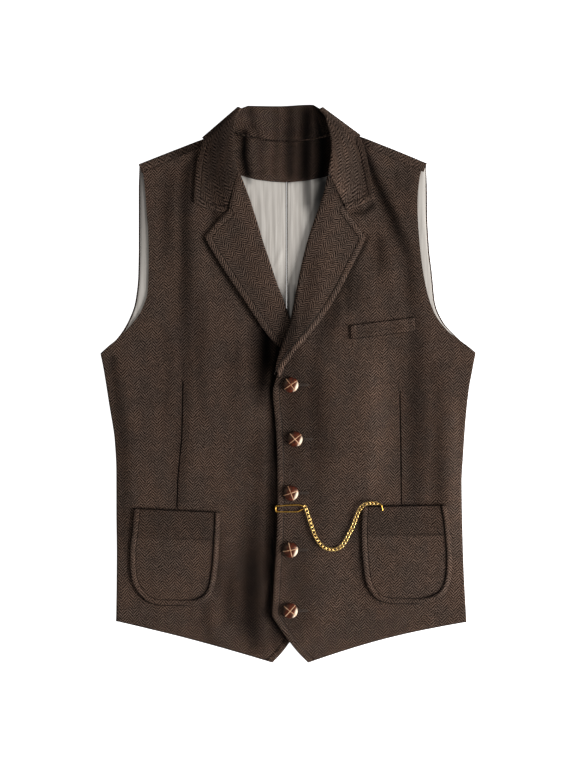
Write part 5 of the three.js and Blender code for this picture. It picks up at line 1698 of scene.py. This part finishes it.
def make_pocket(node, rows, level_at):
    fine = smooth_rows(rows, POCKET_ROW_STEP)
    band = POCKET_BAND_ROW
    band_line = [(rows["left_x"][band], rows["left_y"][band]), (rows["right_x"][band], rows["right_y"][band])]

    def below_band(x, y):
        share = (x - band_line[0][0]) / (band_line[1][0] - band_line[0][0])
        return lerp(band_line[0][1], band_line[1][1], share) - y

    def rise_at(shares, down, x, y):
        puff = POCKET_PUFF * np.sin(math.pi * shares) * (1 - POCKET_PUFF_LOSS * down) * (1 - smoothstep(down, 0.85, 1))
        return puff + BAND_STEP * (1 - smoothstep(below_band(x, y), -0.6, 0.9))

    grid, outline = patch_grid(fine, level_at, TWEED, rise_at)
    x, y = grid[..., 0], grid[..., 1]
    edge = distance_to(outline, x, y)
    across = (x - x.min()) / np.ptp(x)
    lit_side = smoothstep(across, 0.5, 0.8)
    mouth = distance_to([(rows["left_x"][0], rows["left_y"][0]), (rows["right_x"][0], rows["right_y"][0])], x, y)
    # Painted shade and light in the pocket's colour: shadow along the outer edge away from the light, under the mouth
    # and in the stitch groove on the lit side; a dark line under the band's step and the band darker; painted
    # highlights on the edge ridges at both sides.
    outer = 0.95 * (1 - smoothstep(edge, 0.3, 2.4)) * (1 - lit_side)
    upper = 0.9 * (1 - smoothstep(mouth, 0.2, 1.8))
    sewn = 0.9 * lit_side * np.exp(-(((edge - STITCH_INSET) / 2.0) ** 2))
    band = lerp(0.3, 0.65, across) * np.exp(-(((below_band(x, y) - 1.2) / 1.4) ** 2))
    right_ridge_highlight = 0.6 * smoothstep(across, 0.8, 0.95) * np.exp(-(((edge - 3.4) / 2) ** 2))
    left_ridge_highlight = 0.35 * (1 - smoothstep(across, 0.05, 0.2)) * np.exp(-(((edge - 5) / 1.8) ** 2))
    mouth_band = 0.22 * (1 - smoothstep(below_band(x, y), -1, 1))
    shade = np.max([outer, upper, sewn, band, mouth_band], axis=0) - right_ridge_highlight - left_ridge_highlight
    add_cloth(node, grid, TWEED, TWEED_LOOK, grid[..., :2].copy(), edge=edge, shade=shade)


def make_welt():
    fine = smooth_rows(WELT, 1.2)
    grid, outline = patch_grid(fine, front_left_level, TWEED, lambda shares, down, x, y: np.zeros_like(x))
    x, y = grid[..., 0], grid[..., 1]
    shade = 0.85 * (1 - smoothstep(distance_to(outline, x, y), 0.2, 1.6))
    add_cloth("welt", grid, TWEED, TWEED_LOOK, grid[..., :2].copy(), shade=shade)


make_pocket("pocket_right", POCKET_RIGHT, front_right_level)
make_pocket("pocket_left", POCKET_LEFT, front_left_level)
make_welt()


# Buttons of woven leather: a dome of four pads under two crossing straps

BUTTON_SIDES = 64
BUTTON_RINGS = 22
BUTTON_GAP = 0.3
PAD_RISE = 0.7
RIM_TURN = 1.15
RIM_SHARE = 0.28
STRAP_RADIUS = 0.48
STRAP_REACH = 1.35
GLOW_TURN = math.radians(-22)
GLOW_SPAN = (0.5, 0.86)
GLOW_RIM = (0.93, 1.0)
GLOOM_SPAN = (0.15, 0.85)


def button_seat(x, y):
    turns = np.linspace(0, 2 * math.pi, 24, endpoint=False)
    around = front_left_level(x + BUTTON_RADIUS * np.cos(turns), y + BUTTON_RADIUS * np.sin(turns))
    return max(float(np.max(around)), float(front_left_level(x, y))) + TWEED / 2 + BUTTON_GAP


def dome_height(angle, turn):
    pad = PAD_RISE * np.abs(np.sin(2 * turn)) ** 0.7 * np.sin(np.minimum(angle, math.pi / 2)) ** 0.5
    return np.maximum(0.2, BUTTON_HEIGHT * lerp(RIM_SHARE, 1, np.cos(angle)) - PAD_RISE / 2 + pad)


def dome_glow(angle, around):
    """Painted highlight on the side towards the key light and painted shade on the side away from it, 1 to -1."""
    towards = math.sin(angle) * np.cos(around - GLOW_TURN)
    light = smoothstep(towards, *GLOW_SPAN) * (1 - smoothstep(math.sin(angle), *GLOW_RIM))
    return light - smoothstep(-towards, *GLOOM_SPAN)


def button_dome(x, y, z, turn):
    angles = np.linspace(0, math.pi / 2 * RIM_TURN, BUTTON_RINGS + 1)[1:]
    turns = np.linspace(0, 2 * math.pi, BUTTON_SIDES, endpoint=False)
    rings = []
    glow = [np.zeros(1)]
    for angle in angles:
        glow.append(dome_glow(min(angle, math.pi / 2), turns + turn))
        radius = BUTTON_RADIUS * math.sin(angle)
        height = dome_height(angle, turns)
        rings.append(np.stack([radius * np.cos(turns + turn), radius * np.sin(turns + turn), height], axis=-1))
    foot = 0.8 * BUTTON_RADIUS
    rings.append(np.stack([foot * np.cos(turns + turn), foot * np.sin(turns + turn), np.zeros_like(turns)], axis=-1))
    top = [[0.0, 0.0, float(dome_height(angles[0], np.zeros(1))[0])]]
    points = np.concatenate([top, *rings, [[0.0, 0.0, 0.0]]]) + (x, y, z)
    faces = []
    for side in range(BUTTON_SIDES):
        after = (side + 1) % BUTTON_SIDES
        faces.append((0, 1 + side, 1 + after))
        for ring in range(len(rings) - 1):
            inner = 1 + ring * BUTTON_SIDES
            outer = inner + BUTTON_SIDES
            faces.append((inner + side, outer + side, outer + after, inner + after))
        rim = 1 + (len(rings) - 1) * BUTTON_SIDES
        faces.append((rim + side, len(points) - 1, rim + after))
    glow.append(np.zeros(BUTTON_SIDES + 1))
    return points, faces, np.concatenate(glow)


def strap(x, y, z, turn, hop):
    """A narrow strap over the dome, a little higher in the middle where it crosses the other."""
    angles = np.linspace(-STRAP_REACH, STRAP_REACH, 25)
    reach = BUTTON_RADIUS * np.sin(angles)
    height = dome_height(np.abs(angles), np.zeros_like(angles)) + 0.25 + hop * np.exp(-((reach / 1.6) ** 2))
    line = np.stack([x + reach * math.cos(turn), y + reach * math.sin(turn), z + height], axis=-1)
    return tube(line, STRAP_RADIUS, 8)


def make_button(number, x, y, degrees):
    z = button_seat(x, y)
    first = math.radians(-52 + degrees)
    second = math.radians(34 + degrees)
    points, faces, glow = button_dome(x, y, z, (first + second) / 2 - math.pi / 4)
    dome = mesh_object(f"button_{number}_dome", points, faces, LEATHER_LOOK)
    # The dome's glow attribute holds its painted highlight and painted shade.
    dome.data.attributes.new("glow", "FLOAT", "POINT").data.foreach_set("value", glow.astype(np.float32))
    add_piece(dome, "leather", f"button_{number}")
    straps = merged([strap(x, y, z, first, 0.5), strap(x, y, z, second, 0.0)])
    add_piece(mesh_object(f"button_{number}_straps", *straps, STRAP_LOOK), "leather")


for number, (x, y, degrees) in enumerate(BUTTONS, 1):
    make_button(number, x, y, degrees)


# Sewing: buttonholes and topstitching

HOLE_LENGTH = 14
HOLE_START = 8
HOLE_WIDTH = 1.9
HOLE_THREAD = 0.45


def on_front_left(x, y, rise):
    return np.stack([x, y, front_left_level(x, y) + TWEED / 2 + rise], axis=-1)


def make_buttonholes():
    parts = []
    for x, y, _ in BUTTONS:
        turns = np.linspace(0, 2 * math.pi, 72, endpoint=False)
        ring_x = x + HOLE_START + HOLE_LENGTH / 2 * (1 + np.cos(turns))
        ring_y = y + HOLE_WIDTH / 2 * np.clip(1.6 * np.sin(turns), -1, 1)
        parts.append(tube(on_front_left(ring_x, ring_y, 0.15), HOLE_THREAD, 6, closed=True))
    add_piece(mesh_object("buttonhole_stitching", *merged(parts), THREAD_LOOK), "tweed")


make_buttonholes()

STITCH_PITCH = 3.2
STITCH_LENGTH = 2.2
STITCH_RADIUS = 0.28


def stitches(line, level_at, rise):
    """Short thread stitches along a line in plan, half sunk in the cloth."""
    path = smooth_path([(x, y, 0) for x, y in line], STITCH_PITCH)
    forward, _, _ = frames_along(path)
    parts = []
    for place, way in zip(path[1:-1], forward[1:-1]):
        ends = place + np.outer(np.linspace(-0.5, 0.5, 5) * STITCH_LENGTH, way)
        sink = 0.25 * np.array([1, 0.2, 0, 0.2, 1])
        z = level_at(ends[:, 0], ends[:, 1]) + rise - sink
        parts.append(tube(np.stack([ends[:, 0], ends[:, 1], z], axis=-1), STITCH_RADIUS, 5))
    return parts


def inset_line(line, distance, side):
    """A line in plan moved sideways by a distance."""
    points = np.array(line, float)
    along = unit(np.gradient(points, axis=0))
    return points + side * distance * np.stack([-along[:, 1], along[:, 0]], axis=-1)


def make_topstitching():
    parts = []
    fine = smooth_rows(FRONT_LEFT, ROW_STEP, (CUTAWAY_ROW, ARMPIT_LEFT_ROW))
    edge = line_of(fine, "edge_x", "edge_y", fine["edge_y"] < OPEN_EDGE_TOP - 60)
    parts += stitches(inset_line(edge, STITCH_INSET, -1), front_left_level, TWEED / 2 + 0.1)
    for rows, side, level_at in ((LAPEL_RIGHT, 1, front_right_level), (LAPEL_LEFT, -1, front_left_level)):
        lapel = smooth_rows(rows, LAPEL_ROW_STEP, (LAPEL_TIP_ROW,))
        outline = line_of(lapel, "out_x", "out_y", slice(12, None))
        parts += stitches(inset_line(outline, STITCH_INSET, side), level_at, LAPEL_STEP + LAPEL / 2 + 0.3)
    add_piece(mesh_object("topstitching", *merged(parts), THREAD_LOOK), "tweed")


make_topstitching()


# Table and light

FLOOR_HALF = 3.0
FLOOR_DROP = 0.0003


def make_floor():
    corners = [(-FLOOR_HALF, -FLOOR_HALF), (FLOOR_HALF, -FLOOR_HALF), (FLOOR_HALF, FLOOR_HALF), (-FLOOR_HALF, FLOOR_HALF)]
    mesh = bpy.data.meshes.new("table")
    mesh.from_pydata([(x, y, -FLOOR_DROP) for x, y in corners], [], [(0, 1, 2, 3)])
    mesh.materials.append(floor_material())
    floor = bpy.data.objects.new("table", mesh)
    bpy.context.scene.collection.objects.link(floor)


def area_light(name, location, size, energy, target=(0.0, 0.0, 0.0)):
    data = bpy.data.lights.new(name, "AREA")
    data.shape = "SQUARE"
    data.size = size
    data.energy = energy
    light = bpy.data.objects.new(name, data)
    light.location = location
    direction = np.array(target) - np.array(location)
    light.rotation_euler = Vector(direction).to_track_quat("-Z", "Y").to_euler()
    bpy.context.scene.collection.objects.link(light)


def make_world(strength):
    world = bpy.data.worlds.new("studio")
    world.use_nodes = True
    background = world.node_tree.nodes["Background"]
    background.inputs["Color"].default_value = (1, 1, 1, 1)
    background.inputs["Strength"].default_value = strength
    bpy.context.scene.world = world


make_floor()
make_world(0.26)
area_light("key", (2.4, -0.8, 1.25), 1.3, 120)
area_light("fill", (-1.6, 1.2, 2.4), 1.6, 8)
bpy.context.scene.view_settings.view_transform = "Standard"
